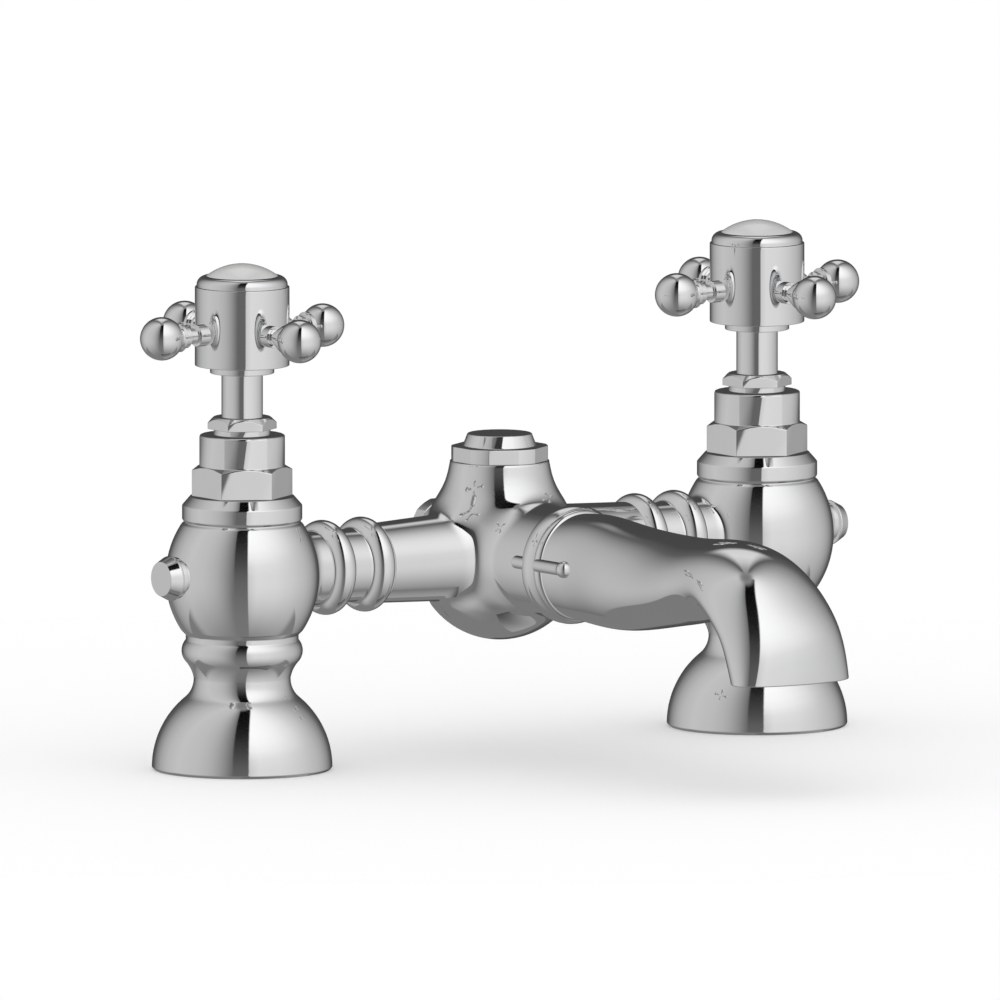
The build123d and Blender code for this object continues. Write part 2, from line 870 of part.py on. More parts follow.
def index_dome(s):
    """Domed index disc with a plug that pushes into the cap ring."""
    seat = handle_top_z + cap_h
    ball = (dome_r**2 + dome_h**2) / (2 * dome_h)
    half = math.asin(dome_r / ball) / 2
    middle = (ball * math.sin(half), seat + dome_h - ball * (1 - math.cos(half)))
    with BuildPart() as dome:
        with BuildSketch(pillar_plane(s)):
            with BuildLine():
                Polyline(
                    (0, seat + dome_h),
                    (0, seat - cap_skirt),
                    (dome_plug_r, seat - cap_skirt),
                    (dome_plug_r, seat),
                    (dome_r, seat),
                )
                ThreePointArc((dome_r, seat), middle, (0, seat + dome_h))
            make_face()
        revolve(axis=pillar_axis(s))
    return dome


def handle_screw(s):
    """Pan-head screw that holds the handle on the square."""
    seat = handle_z + hub_floor
    with BuildPart() as screw:
        with BuildSketch(level(s, seat)):
            Circle(screw_head_r)
        extrude(amount=screw_head_h)
        with BuildSketch(level(s, seat + screw_head_h)):
            RegularPolygon(screw_key_r, 6)
        extrude(amount=-screw_key_depth, mode=Mode.SUBTRACT)
        with BuildSketch(level(s, seat)):
            Circle(screw_r)
        extrude(amount=boss_z + drive_h - screw_hole + screw_tip_gap - seat)
    return screw


def branch_plane(direction):
    """Upright plane through the hub's centre: local x runs outwards along a branch."""
    x, y, z = direction
    return Plane(origin=(0, 0, bridge_z), x_dir=direction, z_dir=(y, -x, 0) if not z else (0, 1, 0))


def forward_plane(reach):
    """Upright plane across the spout's axis, facing -Y."""
    return Plane(origin=(0, -reach, bridge_z), x_dir=(1, 0, 0), z_dir=(0, -1, 0))


def branch_axis(direction):
    return Axis((0, 0, bridge_z), direction)


def pot_outline():
    """Half outline of the turned pot: bowl, straight side, shoulder, flare up to the top neck."""
    half_h = chord(pot_ball_r, pot_r)
    shoulder_r = chord(pot_ball_r, pot_shoulder + pot_drop)
    low_angle = math.atan2(half_h, pot_r) / 2 + math.pi / 4
    bowl = (-pot_drop - pot_ball_r * math.sin(low_angle), pot_ball_r * math.cos(low_angle))
    with BuildSketch(branch_plane(upward)) as outline:
        with BuildLine():
            ThreePointArc((-pot_drop - pot_ball_r, 0), bowl, (-pot_drop - half_h, pot_r))
            Line((-pot_drop - half_h, pot_r), (-pot_drop + half_h, pot_r))
            Line((-pot_drop + half_h, pot_r), (pot_shoulder, shoulder_r))
            ThreePointArc(
                (pot_shoulder, shoulder_r),
                between((pot_shoulder, hub_neck_r), (hub_neck_h, shoulder_r), pot_flare),
                (hub_neck_h, hub_neck_r),
            )
            Line((hub_neck_h, hub_neck_r), (hub_neck_h, 0))
            Line((hub_neck_h, 0), (-pot_drop - pot_ball_r, 0))
        make_face()
    return outline.sketch


def nipple_outline(direction):
    """Half outline of a nipple with its O-ring groove."""
    groove = spigot_end + nipple_groove_at
    floor_r = nipple_r - nipple_groove_depth
    with BuildSketch(branch_plane(direction)) as outline:
        with BuildLine():
            Polyline(
                (hub_arm_end - past, 0),
                (nipple_end - end_gap, 0),
                (nipple_end - end_gap, nipple_r),
                (groove + nipple_groove_w / 2, nipple_r),
                (groove + nipple_groove_w / 2, floor_r),
                (groove - nipple_groove_w / 2, floor_r),
                (groove - nipple_groove_w / 2, nipple_r),
                (hub_arm_end - past, nipple_r),
                close=True,
            )
        make_face()
    return outline.sketch


def hub_plug_hole(direction, end):
    """Half outline of a plug's thread and the recess of its seal."""
    with BuildSketch(branch_plane(direction)) as outline:
        with BuildLine():
            Polyline(
                (0, 0),
                (end, 0),
                (end, hub_seal_r + slip),
                (end - hub_seal_h, hub_seal_r + slip),
                (end - hub_seal_h, plug_bore_r),
                (0, plug_bore_r),
                close=True,
            )
        make_face()
    return outline.sketch


def hub_body():
    """Casting: turned pot with cross arms and nipples, top neck, front neck, rear boss, hollow."""
    socket_r = spout_socket_r + slip
    with BuildPart() as hub:
        revolve(pot_outline(), axis=branch_axis(upward))
        for direction in (leftward, rightward):
            arm = bar(branch_plane(direction), 0, hub_arm_end, arm_hub_r, arm_end_r)
            revolve(arm, axis=branch_axis(direction))
        neck = bar(branch_plane(forward), 0, front_neck_reach, front_neck_r, front_neck_r)
        revolve(neck, axis=branch_axis(forward))
        boss = bar(branch_plane(backward), 0, rear_boss_reach, rear_boss_r, rear_boss_r)
        revolve(boss, axis=branch_axis(backward))
        # nipples, then the way through them
        for direction in (leftward, rightward):
            way = bar(branch_plane(direction), 0, nipple_end, tube_bore_r, tube_bore_r)
            revolve(nipple_outline(direction), axis=branch_axis(direction))
            revolve(way, axis=branch_axis(direction), mode=Mode.SUBTRACT)
        with Locations((0, 0, bridge_z)):
            Sphere(hub_chamber_r, mode=Mode.SUBTRACT)
        # threads of the two plugs, the spout's socket, the holes of the pins
        for direction, end in ((backward, rear_boss_reach), (upward, hub_neck_h)):
            revolve(hub_plug_hole(direction, end), axis=branch_axis(direction), mode=Mode.SUBTRACT)
        socket = bar(branch_plane(forward), 0, front_neck_reach, socket_r, socket_r)
        revolve(socket, axis=branch_axis(forward), mode=Mode.SUBTRACT)
        for s in (hot, cold):
            with BuildSketch(pin_plane(s)):
                Circle(pin_r + slip)
            extrude(amount=pin_length, mode=Mode.SUBTRACT)
    return hub


def hub_plug(plane, turn):
    """Hexagonal plug with turned corners and a coned top, standing on a plane."""
    with BuildPart() as plug:
        with BuildSketch(plane):
            RegularPolygon(hub_plug_flats / 2, 6, major_radius=False, rotation=turn)
            Circle(hub_plug_r, mode=Mode.INTERSECT)
        extrude(amount=hub_plug_hex_h)
        with BuildSketch(plane.offset(hub_plug_hex_h)):
            Circle(hub_plug_cone_r)
        with BuildSketch(plane.offset(hub_plug_hex_h + hub_plug_cone_h)):
            Circle(hub_plug_cone_r - hub_plug_taper)
        loft()
        with BuildSketch(plane):
            Circle(plug_bore_r - slip)
        extrude(amount=-hub_plug_thread_h)
    return plug


def pin_plane(s):
    """Rear end of a locating pin beside the front neck; the pin runs to -Y."""
    return Plane(
        origin=(s * pin_reach, -pin_start, bridge_z + pin_rise), x_dir=(1, 0, 0), z_dir=(0, -1, 0)
    )


def locating_pins():
    with BuildPart() as pins:
        for s in (hot, cold):
            with BuildSketch(pin_plane(s)):
                Circle(pin_r)
            extrude(amount=pin_length - pin_r)
            with Locations(pin_plane(s).offset(pin_length - pin_r).origin):
                Sphere(pin_r)
    return pins


def spout_sections(wall=0.0):
    """Place, height, tilt, half width, upper and lower thickness of each section, less a wall."""
    places = [(spout_root + share * spout_run, *rest) for share, *rest in run_sections]
    places += [(spout_bend + way, *rest) for way, *rest in bend_sections]
    r = spout_root_r - wall
    return [
        (reach, rise, tilt, r + wider, r + above, r + below)
        for reach, rise, tilt, wider, above, below in places
    ]


def spout_plane(reach, rise, tilt):
    """Plane of a spout section: local x is the width, local y the thickness."""
    a = math.radians(tilt)
    return Plane(
        origin=(0, -reach, bridge_z + rise), x_dir=(1, 0, 0), z_dir=(0, -math.cos(a), -math.sin(a))
    )


def spout_loft(sections):
    """Loft through oval sections: the half at +X, then its mirror image."""
    with BuildPart() as tube:
        for reach, rise, tilt, half_w, above, below in sections:
            with BuildSketch(spout_plane(reach, rise, tilt)):
                with BuildLine():
                    EllipticalCenterArc((0, 0), half_w, below, start_angle=-90, arc_size=90)
                    EllipticalCenterArc((0, 0), half_w, above, start_angle=0, arc_size=90)
                    Line((0, above), (0, -below))
                make_face()
        loft()
        mirror(about=Plane.YZ)
    return tube


def spout_core():
    """Sections of the waterway: the spigot's bore first, then the spout less its wall."""
    bore = spout_socket_r - spout_wall
    first, *rest = spout_sections(spout_wall)
    return [(*first[:3], bore, bore, bore)] + rest


def spout():
    """Swept spout that widens to a flat oval mouth, hollow, with a spigot for the hub."""
    spigot_start = front_neck_reach - spout_socket_depth
    groove = spigot_start + spout_groove_at
    bore = spout_socket_r - spout_wall
    front = branch_plane(forward)
    outer = spout_loft(spout_sections()).part
    inner = spout_loft(spout_core()).part
    with BuildPart() as body:
        add(outer)
        spigot = bar(front, spigot_start, spout_root, spout_socket_r, spout_socket_r)
        revolve(spigot, axis=branch_axis(forward))
        add(inner, mode=Mode.SUBTRACT)
        way = bar(front, spigot_start, spout_root, bore, bore)
        revolve(way, axis=branch_axis(forward), mode=Mode.SUBTRACT)
        with BuildSketch(forward_plane(groove)):
            Circle(spout_socket_r + past)
            Circle(spout_socket_r - spout_groove_depth, mode=Mode.SUBTRACT)
        extrude(amount=o_ring_w, mode=Mode.SUBTRACT)
        for s in (hot, cold):
            with BuildSketch(pin_plane(s)):
                Circle(pin_r + slip)
            extrude(amount=pin_length + slip, mode=Mode.SUBTRACT)
    return body


def spout_collar():
    """Two-step ring over the joint of hub and spout, bored for the locating pins."""
    start = front_neck_reach
    step = start + collar_step * collar_ring_w
    edge_r = collar_ring_r - collar_bulge
    edge2_r = collar_ring2_r - collar_bulge
    inner = spout_socket_r + slip
    with BuildPart() as collar:
        with BuildSketch(branch_plane(forward)):
            with BuildLine():
                Line((start, inner), (start, edge_r))
                ThreePointArc((start, edge_r), ((start + step) / 2, collar_ring_r), (step, edge_r))
                Line((step, edge_r), (step, edge2_r))
                ThreePointArc(
                    (step, edge2_r),
                    ((step + spout_root) / 2, collar_ring2_r),
                    (spout_root, edge2_r),
                )
                Line((spout_root, edge2_r), (spout_root, inner))
                Line((spout_root, inner), (start, inner))
            make_face()
        revolve(axis=branch_axis(forward))
        for s in (hot, cold):
            with BuildSketch(pin_plane(s)):
                Circle(pin_r + slip)
            extrude(amount=pin_length, mode=Mode.SUBTRACT)
    return collar


def write(piece, name):
    """Label a piece and write it as parts/NAME.step."""
    piece.part.label = name
    export_step(piece.part, f"parts/{name}.step")
    names.append(name)


def write_side(side, s):
    """All pieces of one pillar and its handle."""
    cage_inner = cage_r - cage_wall
    packing_z = barrel_top_z - gland_depth - packing_h
    washer_z = -deck_thickness - washer_h
    gasket_z = headwork_z - gasket_ring_h
    plug_face = tube_plane(s, plug_z).from_local_coords((plug_seat - plug_washer_h, 0, 0))
    plug_seat_plane = Plane(origin=plug_face, z_dir=(s, 0, 0))
    write(pillar_body(s), f"{side}_pillar_body")
    write(inlet_tail(s), f"{side}_inlet_tail")
    write(rings([level(s, 0)], tail_r + washer_play, gasket_r, gasket_h), f"{side}_deck_gasket")
    washer = rings([level(s, washer_z)], tail_r + washer_play, washer_r, washer_h)
    write(washer, f"{side}_under_deck_washer")
    write(backnut(s), f"{side}_backnut")
    write(blanking_plug(s), f"{side}_blanking_plug")
    plug_washer = rings([plug_seat_plane], plug_thread_r + slip, plug_neck_r, plug_washer_h)
    write(plug_washer, f"{side}_plug_washer")
    write(union_collar(s), f"{side}_union_collar")
    write(headwork_body(s), f"{side}_headwork_body")
    gasket = rings([level(s, gasket_z)], thread_r + slip, gasket_ring_r, gasket_ring_h)
    write(gasket, f"{side}_headwork_gasket")
    write(gland_nut(s), f"{side}_gland_nut")
    packing = rings([level(s, packing_z)], spindle_r + running, gland_bore_r - slip, packing_h)
    write(packing, f"{side}_gland_packing")
    write(spindle(s), f"{side}_spindle")
    write(spindle_o_rings(s), f"{side}_spindle_o_rings")
    thrust = rings([level(s, foot_top_z)], spindle_r + running, cage_inner - slip, thrust_h)
    write(thrust, f"{side}_thrust_washer")
    write(ceramic_disc(s, disc_z, 90), f"{side}_moving_disc")
    write(ceramic_disc(s, fixed_z, 0), f"{side}_fixed_disc")
    write(rings([level(s, seat_z)], port_r, cage_r, seal_h), f"{side}_seat_seal")
    write(handle_hub(s), f"{side}_handle_hub")
    write(handle_arms(s), f"{side}_handle_arms")
    write(cap_ring(s), f"{side}_cap_ring")
    write(index_dome(s), f"{side}_index_dome")
    write(handle_screw(s), f"{side}_handle_screw")


def write_centre():
    """Hub, its plugs, the spout, and the seals of the cross tube."""
    top = Plane(origin=(0, 0, bridge_z + hub_neck_h))
    rear = Plane(origin=(0, rear_boss_reach, bridge_z), x_dir=(1, 0, 0), z_dir=(0, 1, 0))
    write(hub_body(), "hub_body")
    write(hub_plug(top, 30), "hub_top_plug")
    write(hub_plug(rear, 0), "hub_rear_plug")
    recesses = [plane.offset(-hub_seal_h) for plane in (top, rear)]
    write(rings(recesses, plug_bore_r, hub_seal_r, hub_seal_h), "hub_plug_seals")
    write(spout(), "spout")
    write(spout_collar(), "spout_collar")
    write(locating_pins(), "spout_locating_pins")
    groove = front_neck_reach - spout_socket_depth + spout_groove_at + o_ring_w / 2
    spout_seal_r = spout_socket_r - spout_groove_depth + seal_gap
    write(o_rings([forward_plane(groove)], spout_seal_r, spout_groove_depth - seal_gap), "spout_o_ring")
    groove = spigot_end + nipple_groove_at
    ends = [Plane(origin=(s * groove, 0, bridge_z), z_dir=(1, 0, 0)) for s in (hot, cold)]
    union_seal_r = nipple_r - nipple_groove_depth + seal_gap
    write(o_rings(ends, union_seal_r, nipple_groove_depth - seal_gap), "union_o_rings")


names = []
os.makedirs("parts", exist_ok=True)
for side_name, side_sign in sides.items():
    write_side(side_name, side_sign)
write_centre()
print(len(names), "pieces written")
print("bridge height", round(bridge_z, 2), "overall height", round(handle_top_z + cap_h + dome_h, 2))
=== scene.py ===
import json
import math

import bpy
import numpy as np
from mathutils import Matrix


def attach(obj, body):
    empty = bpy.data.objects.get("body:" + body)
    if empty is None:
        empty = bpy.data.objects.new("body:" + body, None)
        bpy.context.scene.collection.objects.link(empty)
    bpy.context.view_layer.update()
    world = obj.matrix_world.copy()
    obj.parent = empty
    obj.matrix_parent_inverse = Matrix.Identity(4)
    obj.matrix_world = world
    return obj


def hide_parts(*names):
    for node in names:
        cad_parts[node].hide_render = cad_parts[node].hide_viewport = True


# Looks of a deck-mounted bath filler in polished chrome. Shapes are worked out in
# millimetres, in the frame of the CAD model, and turned into metres in the mesh.
# z is the height above the deck, the hot pillar stands at -x, the spout points to -y.

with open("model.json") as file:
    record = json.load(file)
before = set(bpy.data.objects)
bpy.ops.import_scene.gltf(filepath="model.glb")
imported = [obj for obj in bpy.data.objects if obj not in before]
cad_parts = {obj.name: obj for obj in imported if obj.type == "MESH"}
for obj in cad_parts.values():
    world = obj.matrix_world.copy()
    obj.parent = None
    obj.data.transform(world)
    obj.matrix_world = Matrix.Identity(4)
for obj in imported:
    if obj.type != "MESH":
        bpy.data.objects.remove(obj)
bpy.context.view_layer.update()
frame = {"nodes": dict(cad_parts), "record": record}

MM = 0.001
PILLAR_X = 90.0      # half the distance between the inlets
BRIDGE_Z = 55.7      # axis of the cross tube
ARM_Z = 125.1        # axis of the handles' arms
CROSS_ARM_END = 44.2  # where the hub's cross arms stop and the unions start
SIDES = {"left": -1, "right": 1}
OUTWARD = {"left": "-x", "right": "x"}


# ---------------------------------------------------------------- outlines

def arc(start, middle, end, steps=24):
    """Points on the circle through three points, both ends included."""
    (ax, ay), (bx, by), (cx, cy) = start, middle, end
    d = 2 * (ax * (by - cy) + bx * (cy - ay) + cx * (ay - by))
    a2, b2, c2 = ax * ax + ay * ay, bx * bx + by * by, cx * cx + cy * cy
    x = (a2 * (by - cy) + b2 * (cy - ay) + c2 * (ay - by)) / d
    y = (a2 * (cx - bx) + b2 * (ax - cx) + c2 * (bx - ax)) / d
    first, mid, last = (math.atan2(q - y, p - x) for p, q in (start, middle, end))
    turn = (last - first) % math.tau
    if (mid - first) % math.tau > turn:
        turn -= math.tau
    angle = first + np.linspace(0, turn, steps)
    radius = math.hypot(ax - x, ay - y)
    return list(np.stack([x + radius * np.cos(angle), y + radius * np.sin(angle)], 1))


def softened(points, edge=0.3, longest=2.5, turn=5.0):
    """Outline with eased corners. It is walked in small steps, each step becomes the mean of
    the walk within `edge` on both sides, and a point is kept per `turn` degrees of bend or per
    `longest` of length, whichever comes first."""
    points = np.array(points, float)
    along = np.r_[0, np.cumsum(np.hypot(*np.diff(points, axis=0).T))]
    reach = 6
    walk = np.linspace(0, along[-1], int(along[-1] / edge * reach) + 2)
    path = np.stack([np.interp(walk, along, points[:, k]) for k in (0, 1)], 1)
    before, after = 2 * path[0] - path[reach:0:-1], 2 * path[-1] - path[-2:-reach - 2:-1]
    path = np.vstack([before, path, after])
    kernel = np.ones(2 * reach + 1) / (2 * reach + 1)
    path = np.stack([np.convolve(path[:, k], kernel, "valid") for k in (0, 1)], 1)
    step = np.diff(path, axis=0)
    bend = np.abs(np.diff(np.unwrap(np.arctan2(step[:, 1], step[:, 0])), prepend=0))
    bend[0] = 0
    count = np.r_[0, np.cumsum(np.degrees(bend) / turn + np.hypot(*step.T) / longest)]
    picks = np.linspace(0, count[-1], int(count[-1]) + 2)
    place = np.interp(picks, count, np.arange(len(path)))
    return np.stack([np.interp(place, np.arange(len(path)), path[:, k]) for k in (0, 1)], 1)


def curve_through(knots, values, at):
    """Natural cubic spline: its second slopes solve one equation per inner knot."""
    gap = np.diff(knots)
    rise = np.diff(values, axis=0) / gap[:, None]
    n = len(knots)
    system, right = np.eye(n), np.zeros_like(values)
    for i in range(1, n - 1):
        system[i, i - 1:i + 2] = gap[i - 1], 2 * (gap[i - 1] + gap[i]), gap[i]
        right[i] = 6 * (rise[i] - rise[i - 1])
    bend = np.linalg.solve(system, right)
    i = np.clip(np.searchsorted(knots, at) - 1, 0, n - 2)
    t, h = (at - knots[i])[:, None], gap[i][:, None]
    slope = rise[i] - h * (2 * bend[i] + bend[i + 1]) / 6
    return values[i] + t * (slope + t * (bend[i] / 2 + t * (bend[i + 1] - bend[i]) / (6 * h)))


def hexagon(angles, flats, round_r=math.inf):
    """Distance from the axis to a hexagon's sides, or to the round that cuts its corners: half
    the width over the flats, by the cosine of the angle from the middle of the nearest side."""
    to_side = (angles + math.tau / 12) % (math.tau / 6) - math.tau / 12
    return np.minimum(flats / 2 / np.cos(to_side), round_r)


def hexagon_angles(edge, half=30.0):
    """Angles round a hexagon whose flats reach `half` degrees to both sides: a few on each
    flat, more on each rounded corner, none nearer than `edge` degrees to where they meet."""
    flat = np.linspace(-half + edge, half - edge, 5)
    corner = np.linspace(half + edge, 60 - half - edge, 8) if half < 30 else []
    return np.radians(np.concatenate([np.r_[flat, corner] + 60 * k for k in range(6)]))


def eased(corners, cut, steps=5):
    """Rows of points along corners given as an array of (corner, point, coordinate). Each
    inner corner gives way to a parabola that leaves its two sides `cut` from the corner."""
    corners = np.array(corners, float)
    rows = [corners[:1]]
    for a, b, c in zip(corners, corners[1:], corners[2:]):
        back, on = a - b, c - b
        back_l, on_l = (np.linalg.norm(v, axis=-1, keepdims=True) + 1e-9 for v in (back, on))
        start = b + back / back_l * np.minimum(cut, 0.45 * back_l)
        end = b + on / on_l * np.minimum(cut, 0.45 * on_l)
        t = np.linspace(0, 1, steps)[:, None, None]
        rows.append((1 - t) ** 2 * start + 2 * t * (1 - t) * b + t ** 2 * end)
    return np.concatenate(rows + [corners[-1:]])


# ---------------------------------------------------------------- surfaces

def round_angles(steps):
    """Equal steps round a full turn, which ends one step before it starts again."""
    return np.arange(steps) * math.tau / steps


def turned(outline, steps=144):
    """Surface of revolution about z: each (radius, height) of the outline goes round."""
    angles = round_angles(steps)
    return around(np.repeat(outline[:, None], steps, 1), angles)


def around(rows, angles):
    """Points from rows of (radius, height) at their angles about z."""
    radius, height = rows[..., 0], rows[..., 1]
    return np.stack([radius * np.cos(angles), radius * np.sin(angles), height], -1)


def sheet(points, closed=True):
    """A grid of points as a surface patch: the points and two triangles per cell."""
    rows, columns = points.shape[:2]
    index = np.arange(rows * columns).reshape(rows, columns)
    if closed:
        index = np.c_[index, index[:, :1]]
    a, b, c, d = index[:-1, :-1], index[:-1, 1:], index[1:, 1:], index[1:, :-1]
    faces = np.stack([np.stack([a, b, c], -1), np.stack([a, c, d], -1)], 2)
    return points.reshape(-1, 3), faces.reshape(-1, 3)


def gathered(parts):
    """Several surfaces in one mesh, without welding them to each other."""
    starts = np.cumsum([0] + [len(points) for points, _ in parts[:-1]])
    faces = [faces + start for (_, faces), start in zip(parts, starts)]
    return np.vstack([points for points, _ in parts]), np.vstack(faces)


def welded(patches):
    """Patches as one surface: points that fall together become one, faces that lose an edge
    go, and all faces turn outwards, by the sign of the volume they close."""
    points, faces = gathered(patches)
    _, first, same = np.unique(np.round(points, 4), axis=0, return_index=True, return_inverse=True)
    points, faces = points[first], same.reshape(-1)[faces]
    a, b, c = faces.T
    faces = faces[(a != b) & (b != c) & (c != a)]
    p, q, r = (points[faces[:, k]] for k in range(3))
    if np.einsum("ij,ij->", np.cross(p, q), r) < 0:
        faces = faces[:, ::-1]
    return points, faces


def turned_shell(outline, steps=144, **softening):
    """Closed surface of revolution of an outline with eased corners."""
    return welded([sheet(turned(softened(outline, **softening), steps))])


def placed(surface, origin=(0, 0, 0), axis="z", turn=0.0):
    """A surface built about z, laid along another axis and moved to its origin."""
    points, faces = surface
    x, y, z = points.T
    c, s = math.cos(math.radians(turn)), math.sin(math.radians(turn))
    x, y = x * c - y * s, x * s + y * c
    laid = {"z": (x, y, z), "x": (z, x, y), "-x": (-z, -x, y), "y": (-x, z, y), "-y": (x, -z, y)}
    return np.stack(laid[axis], 1) + np.array(origin), faces


def normals_of(points, faces):
    """Normal at each point: the sum of its faces' normals, each as long as its face is large."""
    p, q, r = (points[faces[:, k]] for k in range(3))
    face = np.cross(q - p, r - p)
    normal = np.zeros_like(points)
    for k in range(3):
        np.add.at(normal, faces[:, k], face)
    return normal / (np.linalg.norm(normal, axis=1, keepdims=True) + 1e-12)


def piece(name, surface, body, slot, *nodes, mirrored=False):
    """A smooth mesh of that surface, with its finish, that stands for CAD nodes on a body.
    A mirrored piece shows in the polished pieces round it."""
    points, faces = surface
    mesh = bpy.data.meshes.new(name)
    mesh.vertices.add(len(points))
    mesh.vertices.foreach_set("co", (points * MM).ravel())
    mesh.loops.add(faces.size)
    mesh.loops.foreach_set("vertex_index", faces.ravel())
    mesh.polygons.add(len(faces))
    mesh.polygons.foreach_set("loop_start", np.arange(len(faces)) * 3)
    mesh.polygons.foreach_set("use_smooth", np.ones(len(faces), bool))
    mesh.update(calc_edges=True)
    mesh.normals_split_custom_set_from_vertices(normals_of(points, faces))
    mesh.materials.append(FINISHES[slot])
    thing = bpy.data.objects.new(name, mesh)
    bpy.context.scene.collection.objects.link(thing)
    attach(thing, body)
    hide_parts(*nodes)
    thing.visible_glossy = mirrored


# ---------------------------------------------------------------- finishes

def nodes_of(owner):
    """An emptied node tree, and short ways to add a node and to join two."""
    owner.use_nodes = True
    tree = owner.node_tree
    tree.nodes.clear()

    def add(kind, inputs=None, **settings):
        node = tree.nodes.new(kind)
        for key, value in settings.items():
            setattr(node, key, value)
        for key, value in (inputs or {}).items():
            if isinstance(value, bpy.types.NodeSocket):
                tree.links.new(value, node.inputs[key])
            else:
                node.inputs[key].default_value = value
        return node

    return add


def noise(add, place, scale, low, high, detail=3.0):
    """Noise of that many lumps per metre, spread between two values."""
    lumps = add("ShaderNodeTexNoise", {"Vector": place, "Scale": scale, "Detail": detail})
    spread = {"Value": lumps.outputs["Fac"], "From Min": 0.3, "From Max": 0.7,
              "To Min": low, "To Max": high}
    return add("ShaderNodeMapRange", spread).outputs["Result"]


def finish(name, colour, colour2, rough, rough2, lumps, bump, **shader):
    """A finish that drifts between two colours and two roughnesses, with fine bumps."""
    material = bpy.data.materials.new(name)
    add = nodes_of(material)
    place = add("ShaderNodeTexCoord").outputs["Object"]
    drift = noise(add, place, lumps / 6, 0.0, 1.0)
    tone = add("ShaderNodeMix", {"Factor": drift}, data_type="RGBA")
    tone.inputs["A"].default_value = (*colour, 1)
    tone.inputs["B"].default_value = (*colour2, 1)
    grain = noise(add, place, lumps, 0.0, 1.0, 4.0)
    relief = add("ShaderNodeBump", {"Height": grain, "Strength": bump, "Distance": 0.0002})
    surface = add("ShaderNodeBsdfPrincipled", {
        "Base Color": tone.outputs["Result"],
        "Roughness": noise(add, place, lumps / 2, rough, rough2),
        "Normal": relief.outputs["Normal"], **shader})
    add("ShaderNodeOutputMaterial", {"Surface": surface.outputs["BSDF"]})
    return material


def chrome_finish():
    """Polished chrome plate: nearly a mirror, with a faint haze that comes and goes."""
    material = bpy.data.materials.new("chrome_plate")
    add = nodes_of(material)
    place = add("ShaderNodeTexCoord").outputs["Object"]
    ripple = noise(add, place, 90.0, 0.0, 1.0, 1.0)
    relief = add("ShaderNodeBump", {"Height": ripple, "Strength": 0.02, "Distance": 0.0002})
    tone = add("ShaderNodeMix", {"Factor": noise(add, place, 35.0, 0.0, 1.0)}, data_type="RGBA")
    tone.inputs["A"].default_value = (0.955, 0.96, 0.965, 1)
    tone.inputs["B"].default_value = (0.98, 0.98, 0.98, 1)
    surface = add("ShaderNodeBsdfPrincipled", {
        "Base Color": tone.outputs["Result"],
        "Metallic": 1.0,
        "Roughness": noise(add, place, 60.0, 0.03, 0.06),
        "Normal": relief.outputs["Normal"]})
    add("ShaderNodeOutputMaterial", {"Surface": surface.outputs["BSDF"]})
    return material


FINISHES = {
    "chrome_plate": chrome_finish(),
    "glazed_index": finish("glazed_index", (0.62, 0.62, 0.62), (0.66, 0.66, 0.65), 0.14, 0.2,
                           700.0, 0.05, **{"Coat Weight": 0.5, "Coat Roughness": 0.05}),
    "brass": finish("brass", (0.60, 0.43, 0.17), (0.68, 0.50, 0.22), 0.18, 0.32, 900.0, 0.15,
                    Metallic=1.0),
    "steel": finish("steel", (0.42, 0.42, 0.41), (0.52, 0.52, 0.52), 0.28, 0.42, 1100.0, 0.2,
                    Metallic=1.0),
    "rubber": finish("rubber", (0.022, 0.022, 0.023), (0.035, 0.035, 0.034), 0.6, 0.8, 1500.0,
                     0.3),
    "sealing_plastic": finish("sealing_plastic", (0.74, 0.71, 0.64), (0.80, 0.78, 0.72), 0.35, 0.5,
                              900.0, 0.1),
    "ceramic": finish("ceramic", (0.80, 0.80, 0.78), (0.86, 0.86, 0.84), 0.12, 0.22, 600.0, 0.05),
}


# ---------------------------------------------------------------- pillars

GLOBE_ARC = ((17.3, 39.8), (21.8, 55.7), (17.3, 70.2))
GLOBE_Z = 55.3
SPIGOT_R = 10.5      # the pillar's branch towards the hub, and how far it stands out
SPIGOT_END = 24.8


def pillar_outline():
    """Half outline from the deck up: bell, neck, bead, globe, collar, cone, then the bore."""
    lower = [(14.0, 1.5), (22.05, 1.5), (22.05, 0), (24.9, 0), (25.7, 0.8),
             *arc((25.7, 0.8), (23.45, 11.1), (16.2, 20.6)),
             *arc((16.2, 20.6), (14.42, 23.0), (13.8, 26.3)),
             *arc((13.8, 26.3), (14.9, 29.3), (16.05, 30.9)),
             *arc((16.05, 30.9), (17.25, 34.0), (16.05, 37.1)),
             (16.05, 38.6), (17.3, 39.8)]
    globe = arc(*GLOBE_ARC, 60)
    upper = [(16.5, 70.9), (17.1, 71.7), (17.1, 75.6), (14.75, 78.3), (10.45, 78.3),
             (10.45, 67.3), (8.5, 67.3), (8.5, 14.0), (12.65, 14.0), (12.65, 1.5), (14.0, 1.5)]
    return softened(lower + globe + upper, 0.25, 1.0)


def spigot_field(points):
    """Signed distance to the globe joined to the cross spigot with a small fillet."""
    x, y, z = points.T
    ball = radial_field(np.hypot(x, y), z - GLOBE_Z, GLOBE)
    bar = np.maximum(np.hypot(y, z - BRIDGE_Z) - SPIGOT_R, -x)
    return blended(ball, bar, 1.6)


def radial_field(r, h, polar):
    """Distance to a turned outline that is given by its angle and its distance from a centre."""
    angle, reach, slant = polar
    tilt = np.arctan2(h, r)
    return (np.hypot(r, h) - np.interp(tilt, angle, reach)) * np.interp(tilt, angle, slant)


